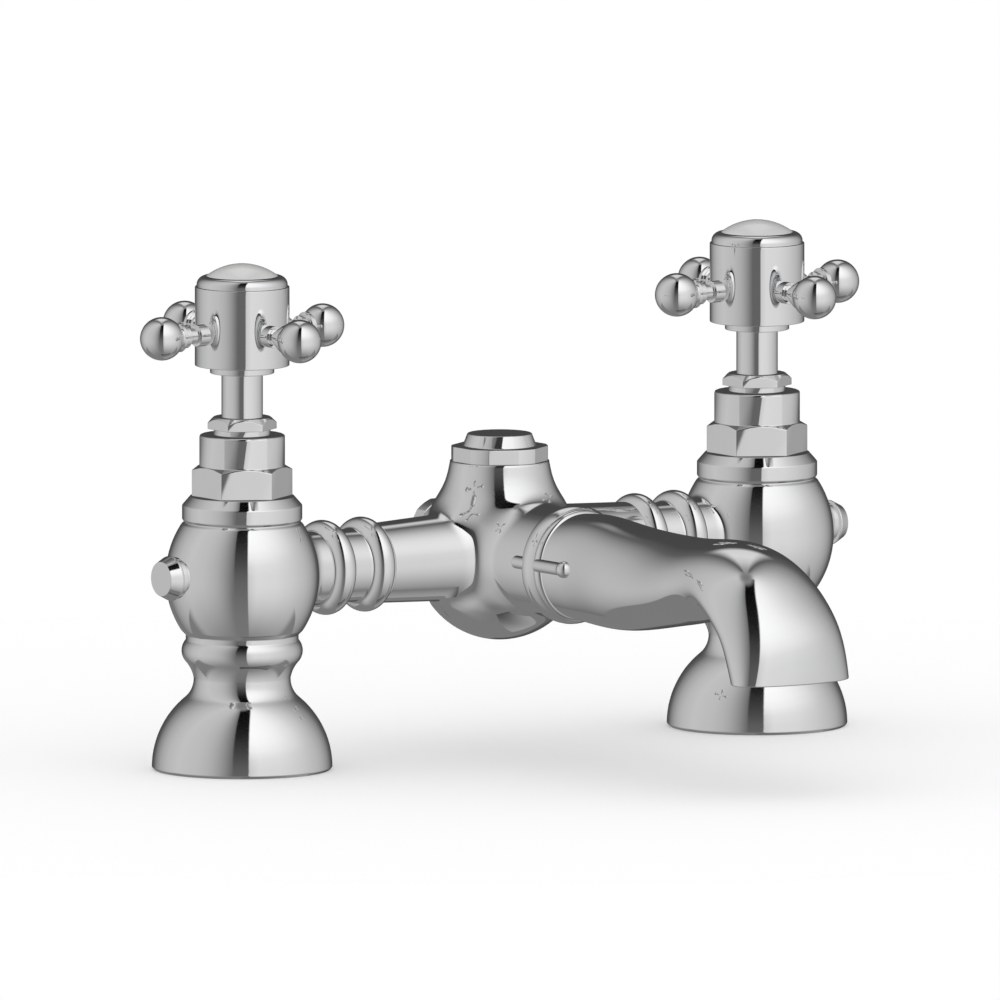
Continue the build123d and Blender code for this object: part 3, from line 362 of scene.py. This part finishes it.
def polar(outline, centre):
    """An outline's angle and distance from a centre on the axis, and its slant to the ray."""
    r, h = outline[:, 0], outline[:, 1] - centre
    order = np.argsort(np.arctan2(h, r))
    angle, reach = np.arctan2(h, r)[order], np.hypot(r, h)[order]
    slant = 1 / np.hypot(1, np.gradient(reach, angle) / reach)
    return angle, reach, slant


def blended(a, b, width):
    """Union of two distances with a fillet: the smaller one, less a little where they meet."""
    near = np.clip(width - np.abs(a - b), 0, None) / width
    return np.minimum(a, b) - near ** 2 * width / 4


def settled(points, field, rounds=7):
    """Points moved down a distance field's slope until they lie on its surface."""
    points, step = points.copy(), 1e-3
    for _ in range(rounds):
        value = field(points)
        slope = np.stack([(field(points + d) - field(points - d)) / (2 * step)
                          for d in np.eye(3) * step], 1)
        points -= slope * (value / np.clip((slope ** 2).sum(1), 0.1, None))[:, None]
    return points


def window_rim(grid, rows, columns):
    """The rim of a window in a closed grid, as one loop of points."""
    (top, bottom), (left, right) = rows, columns
    n = grid.shape[1]
    return np.concatenate([grid[top, np.arange(left, right) % n],
                           grid[np.arange(top, bottom), right % n],
                           grid[bottom, np.arange(right, left, -1) % n],
                           grid[np.arange(bottom, top, -1), left % n]])


GLOBE = polar(np.array(arc(*GLOBE_ARC, 400)), GLOBE_Z)


def branch(rim, circle, steps):
    """Rows of points from a window's rim straight to a circle, point to point."""
    share = np.linspace(0, 1, steps)[:, None, None]
    return rim[None] * (1 - share) + circle[None] * share


def pillar():
    """Turned pillar with a window towards the hub. Rows lead from the window's rim to the end
    circle of the spigot, and every point settles on the globe joined to the spigot."""
    outline = pillar_outline()
    steps, half = 160, 17
    grid = turned(outline, steps)
    radius, height = outline.T
    on_globe = (height > 42.0) & (height < 69.4) & (radius > 16.5)
    first, last = np.flatnonzero(on_globe)[[0, -1]]
    rim = window_rim(grid, (first, last), (-half, half))
    tilt = np.arctan2(rim[:, 2] - BRIDGE_Z, rim[:, 1])
    ring = np.stack([np.full(len(rim), SPIGOT_END), SPIGOT_R * np.cos(tilt),
                     BRIDGE_Z + SPIGOT_R * np.sin(tilt)], 1)
    rows = branch(rim, ring, 16)
    shape = rows.shape
    rows = settled(rows.reshape(-1, 3), spigot_field).reshape(shape)
    rows[0], rows[-1] = rim, ring
    centre = np.array([SPIGOT_END, 0, BRIDGE_Z])
    face = np.stack([centre + (ring - centre) * k for k in (1.0, 0.985, 0.5, 0.0)])
    wall = [sheet(grid[:first + 1]), sheet(grid[last:]),
            sheet(grid[first:last + 1, half:steps - half + 1], closed=False)]
    return welded(wall + [sheet(rows), sheet(face)])


def pillar_at(side):
    """The pillar on its inlet, with the spigot towards the hub."""
    s = SIDES[side]
    points, faces = pillar()
    points = points * (-s, -s, 1) + (s * PILLAR_X, 0, 0)
    piece(f"{side}_pillar", (points, faces), "filler", "chrome_plate", f"{side}_pillar_body")


def blanking_plug(side):
    """Neck, ring, groove and coned head, turned about the cross tube's direction."""
    outline = [(0, -5.0), (3.9, -5.0), (3.9, 0), (4.7, 0), (4.7, 1.7), (5.9, 1.7), (5.9, 3.1),
               (5.4, 3.1), (5.4, 3.6), (6.37, 3.6), (6.37, 4.1), (4.9, 7.1), (0, 7.1)]
    shell = turned_shell(outline, 96, edge=0.12)
    where = (SIDES[side] * (PILLAR_X + 21.3), 0, 56.3)
    piece(f"{side}_plug", placed(shell, where, OUTWARD[side]), "filler", "chrome_plate",
          f"{side}_blanking_plug")


def bead(centre, land=10.4, crest=13.55, half=3.3, foot=1.15):
    """Outline of a round bead on a land: a fillet, the bead's circle and a fillet, which touch
    each other. `half` is half the width the bead's circle would have on the land."""
    ball = ((crest - land) ** 2 + half ** 2) / (2 * (crest - land))
    middle = crest - ball
    meet = math.acos((land + foot - middle) / (ball + foot))
    reach = (ball + foot) * math.sin(meet)
    up = np.linspace(0, meet, 10)
    over_it = np.linspace(-meet, meet, 40)
    rise = np.stack([land + foot - foot * np.cos(up), foot * np.sin(up) - reach], 1)
    crown = np.stack([middle + ball * np.cos(over_it), ball * np.sin(over_it)], 1)
    return np.vstack([rise, crown[1:-1], rise[::-1] * (1, -1)]) + (0, centre)


def union_collar(side):
    """Sleeve with two round beads, which starts and ends in the outer fillets."""
    bore, start, end = 8.65, CROSS_ARM_END, PILLAR_X - SPIGOT_END
    beads = np.vstack([bead(47.9), bead(61.5)])
    beads = beads[(beads[:, 1] > start) & (beads[:, 1] < end)]
    outline = [(bore, start), (beads[0, 0], start), *beads, (beads[-1, 0], end), (bore, end),
               (bore, start)]
    shell = turned_shell(outline, 144, edge=0.14)
    piece(f"{side}_union", placed(shell, (0, 0, BRIDGE_Z), OUTWARD[side]), "filler",
          "chrome_plate", f"{side}_union_collar")


# ---------------------------------------------------------------- headworks

def headwork(side):
    """Hexagon whose top corners are turned down, with a barrel above and the thread below."""
    flats, barrel, drop = 25.0, 12.22, 1.25
    angles = hexagon_angles(0.5)
    hexa = hexagon(angles, flats)
    slope = drop / (flats / math.sqrt(3) - barrel)
    corners = [(0, 60.0), (9.8, 60.0), (9.8, 69.3), (10.4, 69.3), (10.4, 78.3), (hexa, 78.3),
               (hexa, 87.0 - slope * (hexa - barrel)), (barrel, 87.0), (barrel, 95.4),
               (11.8, 95.8), (0, 95.8)]
    rows = eased(stacked(corners, len(angles)), 0.25)
    shell = welded([sheet(around(rows, angles))])
    piece(f"{side}_headwork", placed(shell, (SIDES[side] * PILLAR_X, 0, 0)), "filler",
          "chrome_plate", f"{side}_headwork_body")


def stacked(corners, count):
    """Corners given as (radius, height), either one number or one per angle, as an array."""
    return np.array([[np.broadcast_to(v, count) for v in corner] for corner in corners]
                    ).transpose(0, 2, 1)


def gland_nut(side):
    """Small hexagon nut with turned corners on a round neck."""
    flats, neck, drop = 17.2, 8.1, 1.7
    angles = hexagon_angles(0.6)
    hexa = hexagon(angles, flats)
    slope = drop / (flats / math.sqrt(3) - neck)
    corners = [(0, 89.4), (7.55, 89.4), (7.55, 95.8), (neck, 95.8), (neck, 97.4), (hexa, 97.4),
               (hexa, 100.9 - slope * (hexa - neck)), (neck, 100.9), (5.95, 100.9), (5.95, 100.4),
               (0, 100.4)]
    rows = eased(stacked(corners, len(angles)), 0.16)
    shell = welded([sheet(around(rows, angles))])
    piece(f"{side}_gland", placed(shell, (SIDES[side] * PILLAR_X, 0, 0)), "filler", "chrome_plate",
          f"{side}_gland_nut")


def spindle(side):
    """Shaft from its foot up to the handle's boss, with the squared head inside the handle."""
    outline = [(0, 61.2), (7.4, 61.2), (7.4, 65.7), (5.9, 65.7), (5.9, 113.4), (3.5, 113.4),
               (3.5, 118.9), (0, 118.9)]
    shell = turned_shell(outline, 96, edge=0.15)
    piece(f"{side}_stem", placed(shell, (SIDES[side] * PILLAR_X, 0, 0)), f"{side}_handle",
          "chrome_plate", f"{side}_spindle")


# ---------------------------------------------------------------- handles

def handle_hub(side):
    """Boss, barrel and hollow top of a handle."""
    outline = [(0, 113.4), (9.15, 113.4), (9.15, 115.6), (13.47, 115.6), (13.47, 138.2),
               (10.27, 138.2), (10.27, 122.6), (0, 122.6)]
    shell = turned_shell(outline, 160, edge=0.25, longest=1.2)
    piece(f"{side}_barrel", placed(shell, (SIDES[side] * PILLAR_X, 0, 0)), f"{side}_handle",
          "chrome_plate", f"{side}_handle_hub")


def arm():
    """Spigot, thick root, rod, ring, collar and ball, turned about z. The collar stops where
    the ball is as thick as the ring."""
    ball, reach, ring, rod, root = 6.2, 28.1, 3.25, 2.2, 3.1
    collar = reach - math.sqrt(ball ** 2 - ring ** 2)
    outline = [(0, 10.3), (2.0, 10.3), (2.0, 12.07), (root, 12.07), (root, 16.27), (rod, 16.27),
               (rod, collar - 3.2), (ring, collar - 3.2), (ring, collar - 1.0),
               (4.2, collar - 1.0), (4.2, collar),
               *arc((ring, collar), (ball, reach), (0, reach + ball), 60)]
    return turned_shell(outline, 96, edge=0.12, longest=1.2)


def handle_arms(side):
    """Four arms at right angles, which the barrel mirrors."""
    shell = arm()
    origin = (SIDES[side] * PILLAR_X, 0, ARM_Z)
    arms = [placed(shell, origin, axis) for axis in ("x", "y", "-x", "-y")]
    piece(f"{side}_arms", gathered(arms), f"{side}_handle", "chrome_plate", f"{side}_handle_arms",
          mirrored=True)


def cap_ring(side):
    """Ring with a rounded shoulder that holds the index dome."""
    outline = [(8.05, 133.2), (8.05, 141.2), (10.45, 141.2),
               *arc((10.45, 141.2), (12.2, 140.5), (12.95, 139.1)), (12.95, 138.2),
               (10.22, 138.2), (10.22, 133.2), (8.05, 133.2)]
    shell = turned_shell(outline, 144, edge=0.12)
    piece(f"{side}_cap", placed(shell, (SIDES[side] * PILLAR_X, 0, 0)), f"{side}_handle",
          "chrome_plate", f"{side}_cap_ring")


def index_dome(side):
    """Disc whose top is a shallow dome, a circle's arc turned about z."""
    outline = [(0, 136.2), (8.0, 136.2), (8.0, 141.2), (10.25, 141.2),
               *arc((10.25, 141.2), (5.3, 143.8), (0, 144.7))]
    shell = turned_shell(outline, 128, edge=0.2)
    piece(f"{side}_index", placed(shell, (SIDES[side] * PILLAR_X, 0, 0)), f"{side}_handle",
          "glazed_index", f"{side}_index_dome")


# ---------------------------------------------------------------- hub

POT_CENTRE = -0.7
POT_TOP = 26.4
CROSS_ARM_R, CROSS_ARM_END_R = 13.3, 11.35
NECK_R, BOSS_R = 15.2, 13.5
BOSS_END = 23.4


def pot_outline(longest):
    """Half outline of the pot from its bottom pole up, heights from the cross tube's axis."""
    points = [*arc((0, -24.8), (14.2, -20.17), (20.3, -13.7), 40), (20.3, 10.6),
              (19.9, 12.4), (18.6, 14.9), (17.1, 17.3), (15.9, 19.5), (15.07, 21.8), (14.5, 24.1),
              (14.15, POT_TOP - 0.2), (14.1, POT_TOP)]
    return softened(points, 1.6, longest, 20.0)


POT = polar(pot_outline(0.15), POT_CENTRE)


def hub_field(points):
    """Signed distance to the pot joined to its two arms, front neck and rear boss."""
    x, y, z = points.T
    pot = radial_field(np.hypot(x, y), z - POT_CENTRE, POT)
    taper = (CROSS_ARM_R - CROSS_ARM_END_R) / CROSS_ARM_END
    arms = np.hypot(y, z) - (CROSS_ARM_R - taper * np.abs(x))
    neck = np.maximum(np.hypot(x, z) - NECK_R, y)
    boss = np.maximum(np.hypot(x, z) - BOSS_R, -y)
    joined = pot
    for branch_out in (arms, neck, boss):
        joined = blended(joined, branch_out, 4.0)
    return joined


def hub():
    """Turned pot whose belt is four windows, one for each branch. Rows lead from a window's
    rim to the circle where its branch is plain, and every point settles on the joined shape."""
    belt = 20.2
    outline = pot_outline(0.75)
    low = np.flatnonzero(outline[:, 1] > -belt)[0]
    high = np.flatnonzero(outline[:, 1] < belt)[-1]
    ends, counts = [-140, -40, 40, 140, 220], [52, 42, 52, 42]
    angles = np.concatenate([np.linspace(a, b, count, endpoint=False)
                             for a, b, count in zip(ends, ends[1:], counts)])
    edges = np.cumsum([0] + counts)
    grid = around(np.repeat(outline[:, None], len(angles), 1), np.radians(angles))
    shape = grid.shape
    grid = settled(grid.reshape(-1, 3), hub_field).reshape(shape)
    grid[0] = grid[0].mean(0)
    grid[-1, :, 2] = POT_TOP
    lid = grid[-1][None] * np.array([1, 0.97, 0.5, 0.0])[:, None, None]
    lid[..., 2] = POT_TOP
    patches = [sheet(grid[:low + 1]), sheet(grid[high:]), sheet(lid)]
    # where each branch is plain, where it ends, its radius there and its nipple's radius
    cross_arm = (31.0, CROSS_ARM_END, CROSS_ARM_END_R, 8.6)
    branches = {"-y": (30.0, 34.0, NECK_R, 0), "x": cross_arm,
                "y": (20.9, BOSS_END, BOSS_R, 0), "-x": cross_arm}
    for (axis, sizes), left, right in zip(branches.items(), edges, edges[1:]):
        rim = window_rim(grid, (low, high), (left, right))
        patches.append(sheet(hub_branch(rim, axis, *sizes)))
    points, faces = welded(patches)
    return points + (0, 0, BRIDGE_Z), faces


def hub_branch(rim, axis, plain, end, end_r, nipple_r):
    """Rows from a rim along one branch to its end face, and a nipple on the cross arms. Each
    row keeps the directions in which the rim's points stand off the branch's axis."""
    nipple_end = 71.5
    out = {"x": (1, 0, 0), "-x": (-1, 0, 0), "y": (0, 1, 0), "-y": (0, -1, 0)}[axis]
    out = np.array(out, float)
    along = (rim @ out)[:, None]
    spoke = rim - along * out
    spoke /= np.linalg.norm(spoke, axis=1, keepdims=True)

    def ring(r, reach):
        return spoke * r + out * reach

    rows = branch(rim, ring(end_r, plain), 30)
    tube = [ring(end_r, reach) for reach in np.linspace(plain, end - 0.4, 8)[1:]]
    rows = np.concatenate([rows, np.stack(tube)])
    shape = rows.shape
    rows = settled(rows.reshape(-1, 3), hub_field).reshape(shape)
    rows[0] = rim
    face = [rows[-1], ring(end_r, end)]
    if nipple_r:
        face += [ring(nipple_r, end), ring(nipple_r, nipple_end)]
    face.append(ring(0, nipple_end if nipple_r else end))
    return np.concatenate([rows[:-1], eased(np.stack(face), 0.25)])


def hub_plug(name, origin, axis, turn):
    """Hexagon cut round at its corners, with a coned top and the thread below."""
    flats, round_r, cone = 26.1, 13.75, 10.5
    angles = hexagon_angles(0.35, math.degrees(math.acos(flats / 2 / round_r)))
    hexa = hexagon(angles, flats, round_r)
    corners = [(0, -6.0), (9.55, -6.0), (9.55, 0.0), (hexa, 0.0), (hexa, 4.3), (cone, 4.3),
               (cone - 1.35, 7.8), (0, 7.8)]
    rows = eased(stacked(corners, len(angles)), 0.3)
    shell = welded([sheet(around(rows, angles))])
    piece(f"{name}_cap", placed(shell, origin, axis, turn), "filler", "chrome_plate",
          f"{name}_plug")


# ---------------------------------------------------------------- spout

# place along -y, height from the cross tube's axis, tilt, half width, thickness above and
# below the middle, and the share by which a section is narrower above than below
SPOUT = np.array([
    (40.2, 0.0, 0.0, 15.0, 15.0, 15.0, 0.0), (50.2, -0.1, -1.25, 14.75, 15.74, 15.77, 0.01),
    (65.2, -0.7, -1.53, 15.71, 15.2, 15.26, 0.06), (87.2, 0.39, -4.3, 16.36, 13.11, 13.03, 0.13),
    (102.8, 2.17, -3.39, 17.12, 11.66, 11.68, 0.07),
    (115.9, 3.61, 16.86, 17.64, 10.99, 9.95, 0.09),
    (124.3, 1.27, 38.44, 18.63, 11.36, 8.75, 0.14),
    (131.6, -4.16, 61.65, 19.42, 11.34, 8.83, 0.08),
    (137.2, -10.8, 78.15, 19.6, 11.38, 9.26, 0.05),
    (140.3, -17.53, 86.94, 19.63, 10.26, 9.73, 0.03),
    (141.6, -23.28, 89.98, 19.51, 8.93, 9.46, -0.04)])


def spout():
    """Oval sections along a smooth line: the outside down to the lip, the bore back up."""
    wall = 2.8
    knots = np.r_[0, np.cumsum(np.hypot(*np.diff(SPOUT[:, :2], axis=0).T))]
    shape = curve_through(knots, SPOUT, np.linspace(0, knots[-1], 190))
    angles = round_angles(150)
    outer = oval(shape, angles, 0.0)
    inner = oval(shape, angles, wall)[::-1]
    lip = eased(np.stack([outer[-3], outer[-1], inner[0], inner[2]]), 0.5, 7)
    back = eased(np.stack([inner[-2], inner[-1], outer[0], outer[2]]), 0.15, 4)
    rows = np.concatenate([outer[2:-3], lip, inner[2:-2], back])
    return welded([sheet(rows)])


def oval(shape, angles, wall):
    """Points of each section, an ellipse whose halves differ: across x it is the half width
    times the cosine, less the narrowing upwards; square to the spout's line it is the
    thickness of that half times the sine."""
    reach, rise, tilt, wide, above, below, narrower = (column[:, None] for column in shape.T)
    tilt, cos, sin = np.radians(tilt), np.cos(angles), np.sin(angles)
    across = (wide - wall) * cos * (1 - narrower * sin)
    up = (np.where(sin > 0, above, below) - wall) * sin
    return np.stack([across, -reach - np.sin(tilt) * up, BRIDGE_Z + rise + np.cos(tilt) * up], -1)


def spout_collar():
    """Two rings over the joint of hub and spout: a broad crowned one and a narrow one that
    runs down to the spout."""
    bore, start, end = 11.05, 34.0, 41.2
    outline = [(bore, start), (16.65, start),
               *arc((16.65, start), (16.95, 36.0), (16.05, 39.1), 20)[1:],
               *arc((15.95, 39.1), (15.98, 40.0), (15.0, end), 20), (bore, end), (bore, start)]
    shell = turned_shell(outline, 144, edge=0.12, longest=0.8)
    piece("collar_rings", placed(shell, (0, 0, BRIDGE_Z), "-y"), "filler", "chrome_plate",
          "spout_collar")


def locating_pins():
    """Dowels beside the front neck. They run through the collar rings, so that a rear stretch
    and a front stretch with a ball end show."""
    r, ball, end, beside, height = 1.85, 2.35, 55.0, 15.2, 56.9
    root = end - ball - math.sqrt(ball ** 2 - r ** 2)
    rear = turned_shell([(0, 29.3), (r, 29.3), (r, 34.3), (0, 34.3)], 64, edge=0.3)
    front = turned_shell([(0, 39.7), (r, 39.7), *arc((r, root), (ball, end - ball), (0, end), 60)],
                         64, edge=0.1)
    pins = [placed(shell, (x, 0, height), "-y")
            for x in (-beside, beside) for shell in (rear, front)]
    piece("dowels", gathered(pins), "filler", "chrome_plate", "spout_locating_pins")


# ---------------------------------------------------------------- stage

LOOK = 35.6          # the camera's turn to the left of the front, and its height, in degrees
RISE = 6.85
UNDERNEATH = 119     # greys on the 0 to 255 scale of a screen
FLOOR_BEHIND = 122


def camera():
    """Level view from the photograph's side, drawn without perspective."""
    a, e = math.radians(LOOK), math.radians(RISE)
    ahead = np.array([math.sin(a) * math.cos(e), math.cos(a) * math.cos(e), -math.sin(e)])
    aim, distance = np.array([0.00014, 0, 0.07068]), 1.0
    data = bpy.data.cameras.new("camera")
    data.type = "ORTHO"
    data.ortho_scale = 0.28425
    cam = bpy.data.objects.new("camera", data)
    cam.location = aim - ahead * distance
    cam.rotation_euler = (math.pi / 2 - e, 0, -a)
    bpy.context.scene.collection.objects.link(cam)
    bpy.context.scene.camera = cam


def grey(level):
    """Linear value of a grey given on the 0 to 255 scale of a screen."""
    v = level / 255
    return v / 12.92 if v <= 0.04045 else ((v + 0.055) / 1.055) ** 2.4


def ramp(add, value, low, high, stops):
    """A grey that follows a value through (value, grey level) stops."""
    node = add("ShaderNodeMapRange", {"Value": value, "From Min": low, "From Max": high})
    colours = add("ShaderNodeValToRGB", {"Fac": node.outputs["Result"]})
    band = colours.color_ramp
    while len(band.elements) > 1:
        band.elements.remove(band.elements[-1])
    for i, (at, level) in enumerate(stops):
        element = band.elements[0] if i == 0 else band.elements.new((at - low) / (high - low))
        element.position = (at - low) / (high - low)
        element.color = (*[grey(level)] * 3, 1)
    return colours.outputs["Color"]


def math_node(add, operation, a, b=0.0):
    """One sum, product or function of one or two values."""
    return add("ShaderNodeMath", {0: a, 1: b}, operation=operation).outputs["Value"]


def mixed(add, factor, a, b):
    """Blend of two greys or tones, the second where the factor is one."""
    node = add("ShaderNodeMix", {"Factor": factor}, data_type="RGBA")
    for key, value in (("A", a), ("B", b)):
        if isinstance(value, bpy.types.NodeSocket):
            node.id_data.links.new(value, node.inputs[key])
        else:
            node.inputs[key].default_value = (value, value, value, 1)
    return node.outputs["Result"]


def weighted(add, start, *terms):
    """A number plus each value times its weight."""
    total = start
    for value, weight in terms:
        total = add("ShaderNodeMath", {0: value, 1: weight, 2: total},
                    operation="MULTIPLY_ADD").outputs["Value"]
    return total


def smooth_step(add, value, low, high):
    """Zero at one bound, one at the other, and level at both."""
    node = add("ShaderNodeMapRange", {"Value": value, "From Min": low, "From Max": high},
               interpolation_type="SMOOTHSTEP")
    return node.outputs["Result"]


def over(add, factor, under, cover, *more):
    """A cover laid on a tone where its factors, multiplied, are one."""
    for other in more:
        factor = math_node(add, "MULTIPLY", factor, other)
    return mixed(add, factor, under, cover)


def room(add, x, back, azimuth, height):
    """Tone of the panels round the object, of the dark gap between them and of what is above:
    panels by azimuth, paler high up on the right, and greyer towards straight down."""
    tone = ramp(add, azimuth, -180, 180, [
        (-180, 68), (-166, 70), (-154, 92), (-142, 135), (-127, 167), (-112, 184), (-90, 195),
        (-60, 188), (-46, 179), (-38, 170), (-30, 156), (-22, 137), (-14, 110), (0, 150),
        (8, 200), (14, 209), (22, 219), (52, 216), (67, 210), (82, 203), (97, 193), (112, 183),
        (127, 166), (142, 136), (154, 92), (166, 70), (180, 68)])
    lit = ramp(add, height, -90, 90, [
        (-90, 0), (3, 0), (15, 120), (25, 205), (35, 240), (48, 255)])
    tone = over(add, lit, tone, 1.0, smooth_step(add, azimuth, 135, 12),
                smooth_step(add, x, 0, 0.1))
    tone = over(add, smooth_step(add, height, -2, -88), tone, grey(UNDERNEATH))
    gap = ramp(add, height, -90, 90, [
        (-90, 119), (-45, 115), (-25, 108), (-5, 97), (5, 89), (15, 76), (25, 64), (35, 52),
        (45, 36), (55, 24), (65, 17), (75, 9)])
    tone = over(add, smooth_step(add, x, 0.165, 0.13), tone, gap,
                smooth_step(add, azimuth, -14.5, -10.5), smooth_step(add, back, 0.0, 0.02))
    ceiling = ramp(add, height, 0, 90, [(40, 208), (56, 216), (68, 196), (78, 158), (88, 120)])
    behind = smooth_step(add, math_node(add, "ABSOLUTE", azimuth), 154, 170)
    tone = over(add, smooth_step(add, height, 34, 44), tone, ceiling, behind)
    return over(add, smooth_step(add, height, 80, 86), tone, ceiling)


def ground(add, tone, x, ahead, z, azimuth):
    """Lays the floor behind the object on the room's tone, and the pale patch on that floor."""
    drop = weighted(add, 0.0, (z, -1.0), (ahead, -0.57), (math_node(add, "ABSOLUTE", x), -0.42))
    tone = over(add, smooth_step(add, drop, 0.0, 0.03), tone, grey(FLOOR_BEHIND),
                smooth_step(add, ahead, 0.05, 0.3))
    turn = math_node(add, "ABSOLUTE", azimuth)
    tone = over(add, smooth_step(add, z, -0.17, -0.22), tone, grey(FLOOR_BEHIND),
                smooth_step(add, turn, 149, 154), smooth_step(add, x, -0.01, -0.04))
    patch = ramp(add, ahead, -0.2, 0.7, [(-0.1, 75), (0.15, 110), (0.4, 140), (0.6, 155)])
    left_edge = weighted(add, 0.036, (x, 1.0), (ahead, -0.23))
    near_edge = weighted(add, 0.13, (ahead, 1.0), (x, -0.25))
    return over(add, smooth_step(add, left_edge, 0.0, 0.02), tone, patch,
                smooth_step(add, near_edge, 0.0, 0.02), smooth_step(add, ahead, 0.64, 0.6),
                smooth_step(add, x, 0.52, 0.48), smooth_step(add, z, 0.0, -0.02))


def studio():
    """White world with soft panels that only reflections see. Azimuth is counted from the
    camera to the right, height is above the horizon, both in degrees. A soft panel stands on
    either side of the camera, the right one brighter and brightest high up, with a dark gap
    between them at the camera itself and a dark room behind the object."""
    world = bpy.data.worlds.new("studio")
    bpy.context.scene.world = world
    add = nodes_of(world)
    direction = add("ShaderNodeTexCoord").outputs["Generated"]
    local = add("ShaderNodeVectorRotate", {"Vector": direction, "Angle": math.radians(LOOK)},
                rotation_type="Z_AXIS").outputs["Vector"]
    xyz = add("ShaderNodeSeparateXYZ", {"Vector": local}).outputs
    x, ahead, z = xyz["X"], xyz["Y"], xyz["Z"]
    back = math_node(add, "MULTIPLY", ahead, -1.0)
    degrees = 180 / math.pi
    azimuth = math_node(add, "MULTIPLY", math_node(add, "ARCTAN2", x, back), degrees)
    height = math_node(add, "MULTIPLY", math_node(add, "ARCSINE", z), degrees)
    tone = ground(add, room(add, x, back, azimuth, height), x, ahead, z, azimuth)
    path = add("ShaderNodeLightPath").outputs
    light = mixed(add, path["Is Glossy Ray"], 1.0, tone)
    background = add("ShaderNodeBackground", {"Color": light})
    add("ShaderNodeOutputWorld", {"Surface": background.outputs["Background"]})


def floor():
    """Round pale slab with its top on the deck's height. The camera sees it white, with the
    object's soft shadow, and reflections see the studio through it."""
    radius, depth, albedo = 330.0, 70.0, 0.85
    outline = [(0, -depth), (radius, -depth), (radius, 0), (0, 0)]
    points, faces = turned_shell(outline, 256, edge=1.0, longest=40.0)
    mesh = bpy.data.meshes.new("floor")
    mesh.from_pydata((points * MM).tolist(), [], faces.tolist())
    material = bpy.data.materials.new("pale_floor")
    add = nodes_of(material)
    path = add("ShaderNodeLightPath").outputs
    matt = add("ShaderNodeBsdfDiffuse", {"Color": (*[albedo] * 3, 1)})
    lift = add("ShaderNodeEmission", {"Color": (*[1 - albedo] * 3, 1)})
    seen = add("ShaderNodeAddShader", {0: matt.outputs["BSDF"], 1: lift.outputs["Emission"]})
    clear = add("ShaderNodeBsdfTransparent")
    both = add("ShaderNodeMixShader", {0: path["Is Camera Ray"], 1: matt.outputs["BSDF"],
                                       2: seen.outputs["Shader"]})
    both = add("ShaderNodeMixShader", {0: path["Is Glossy Ray"], 1: both.outputs["Shader"],
                                       2: clear.outputs["BSDF"]})
    add("ShaderNodeOutputMaterial", {"Surface": both.outputs["Shader"]})
    mesh.materials.append(material)
    slab = bpy.data.objects.new("floor", mesh)
    bpy.context.scene.collection.objects.link(slab)


# ---------------------------------------------------------------- the whole

def finish_nodes():
    """Gives every CAD node the finish of its material slot, and hides it from reflections."""
    for part in frame["record"]["subparts"]:
        node = frame["nodes"][part["node"]]
        node.data.materials.clear()
        node.data.materials.append(FINISHES[part["material_slot"]])
        node.visible_glossy = False


def build():
    finish_nodes()
    for side in SIDES:
        pillar_at(side)
        for make in (blanking_plug, union_collar, headwork, gland_nut, spindle, handle_hub,
                     handle_arms, cap_ring, index_dome):
            make(side)
    piece("hub_casting", hub(), "filler", "chrome_plate", "hub_body")
    hub_plug("hub_top", (0, 0, BRIDGE_Z + POT_TOP), "z", 0)
    hub_plug("hub_rear", (0, BOSS_END, BRIDGE_Z), "y", 30)
    piece("spout_casting", spout(), "filler", "chrome_plate", "spout")
    spout_collar()
    locating_pins()


build()
studio()
floor()
camera()
bpy.context.scene.view_settings.view_transform = "Standard"
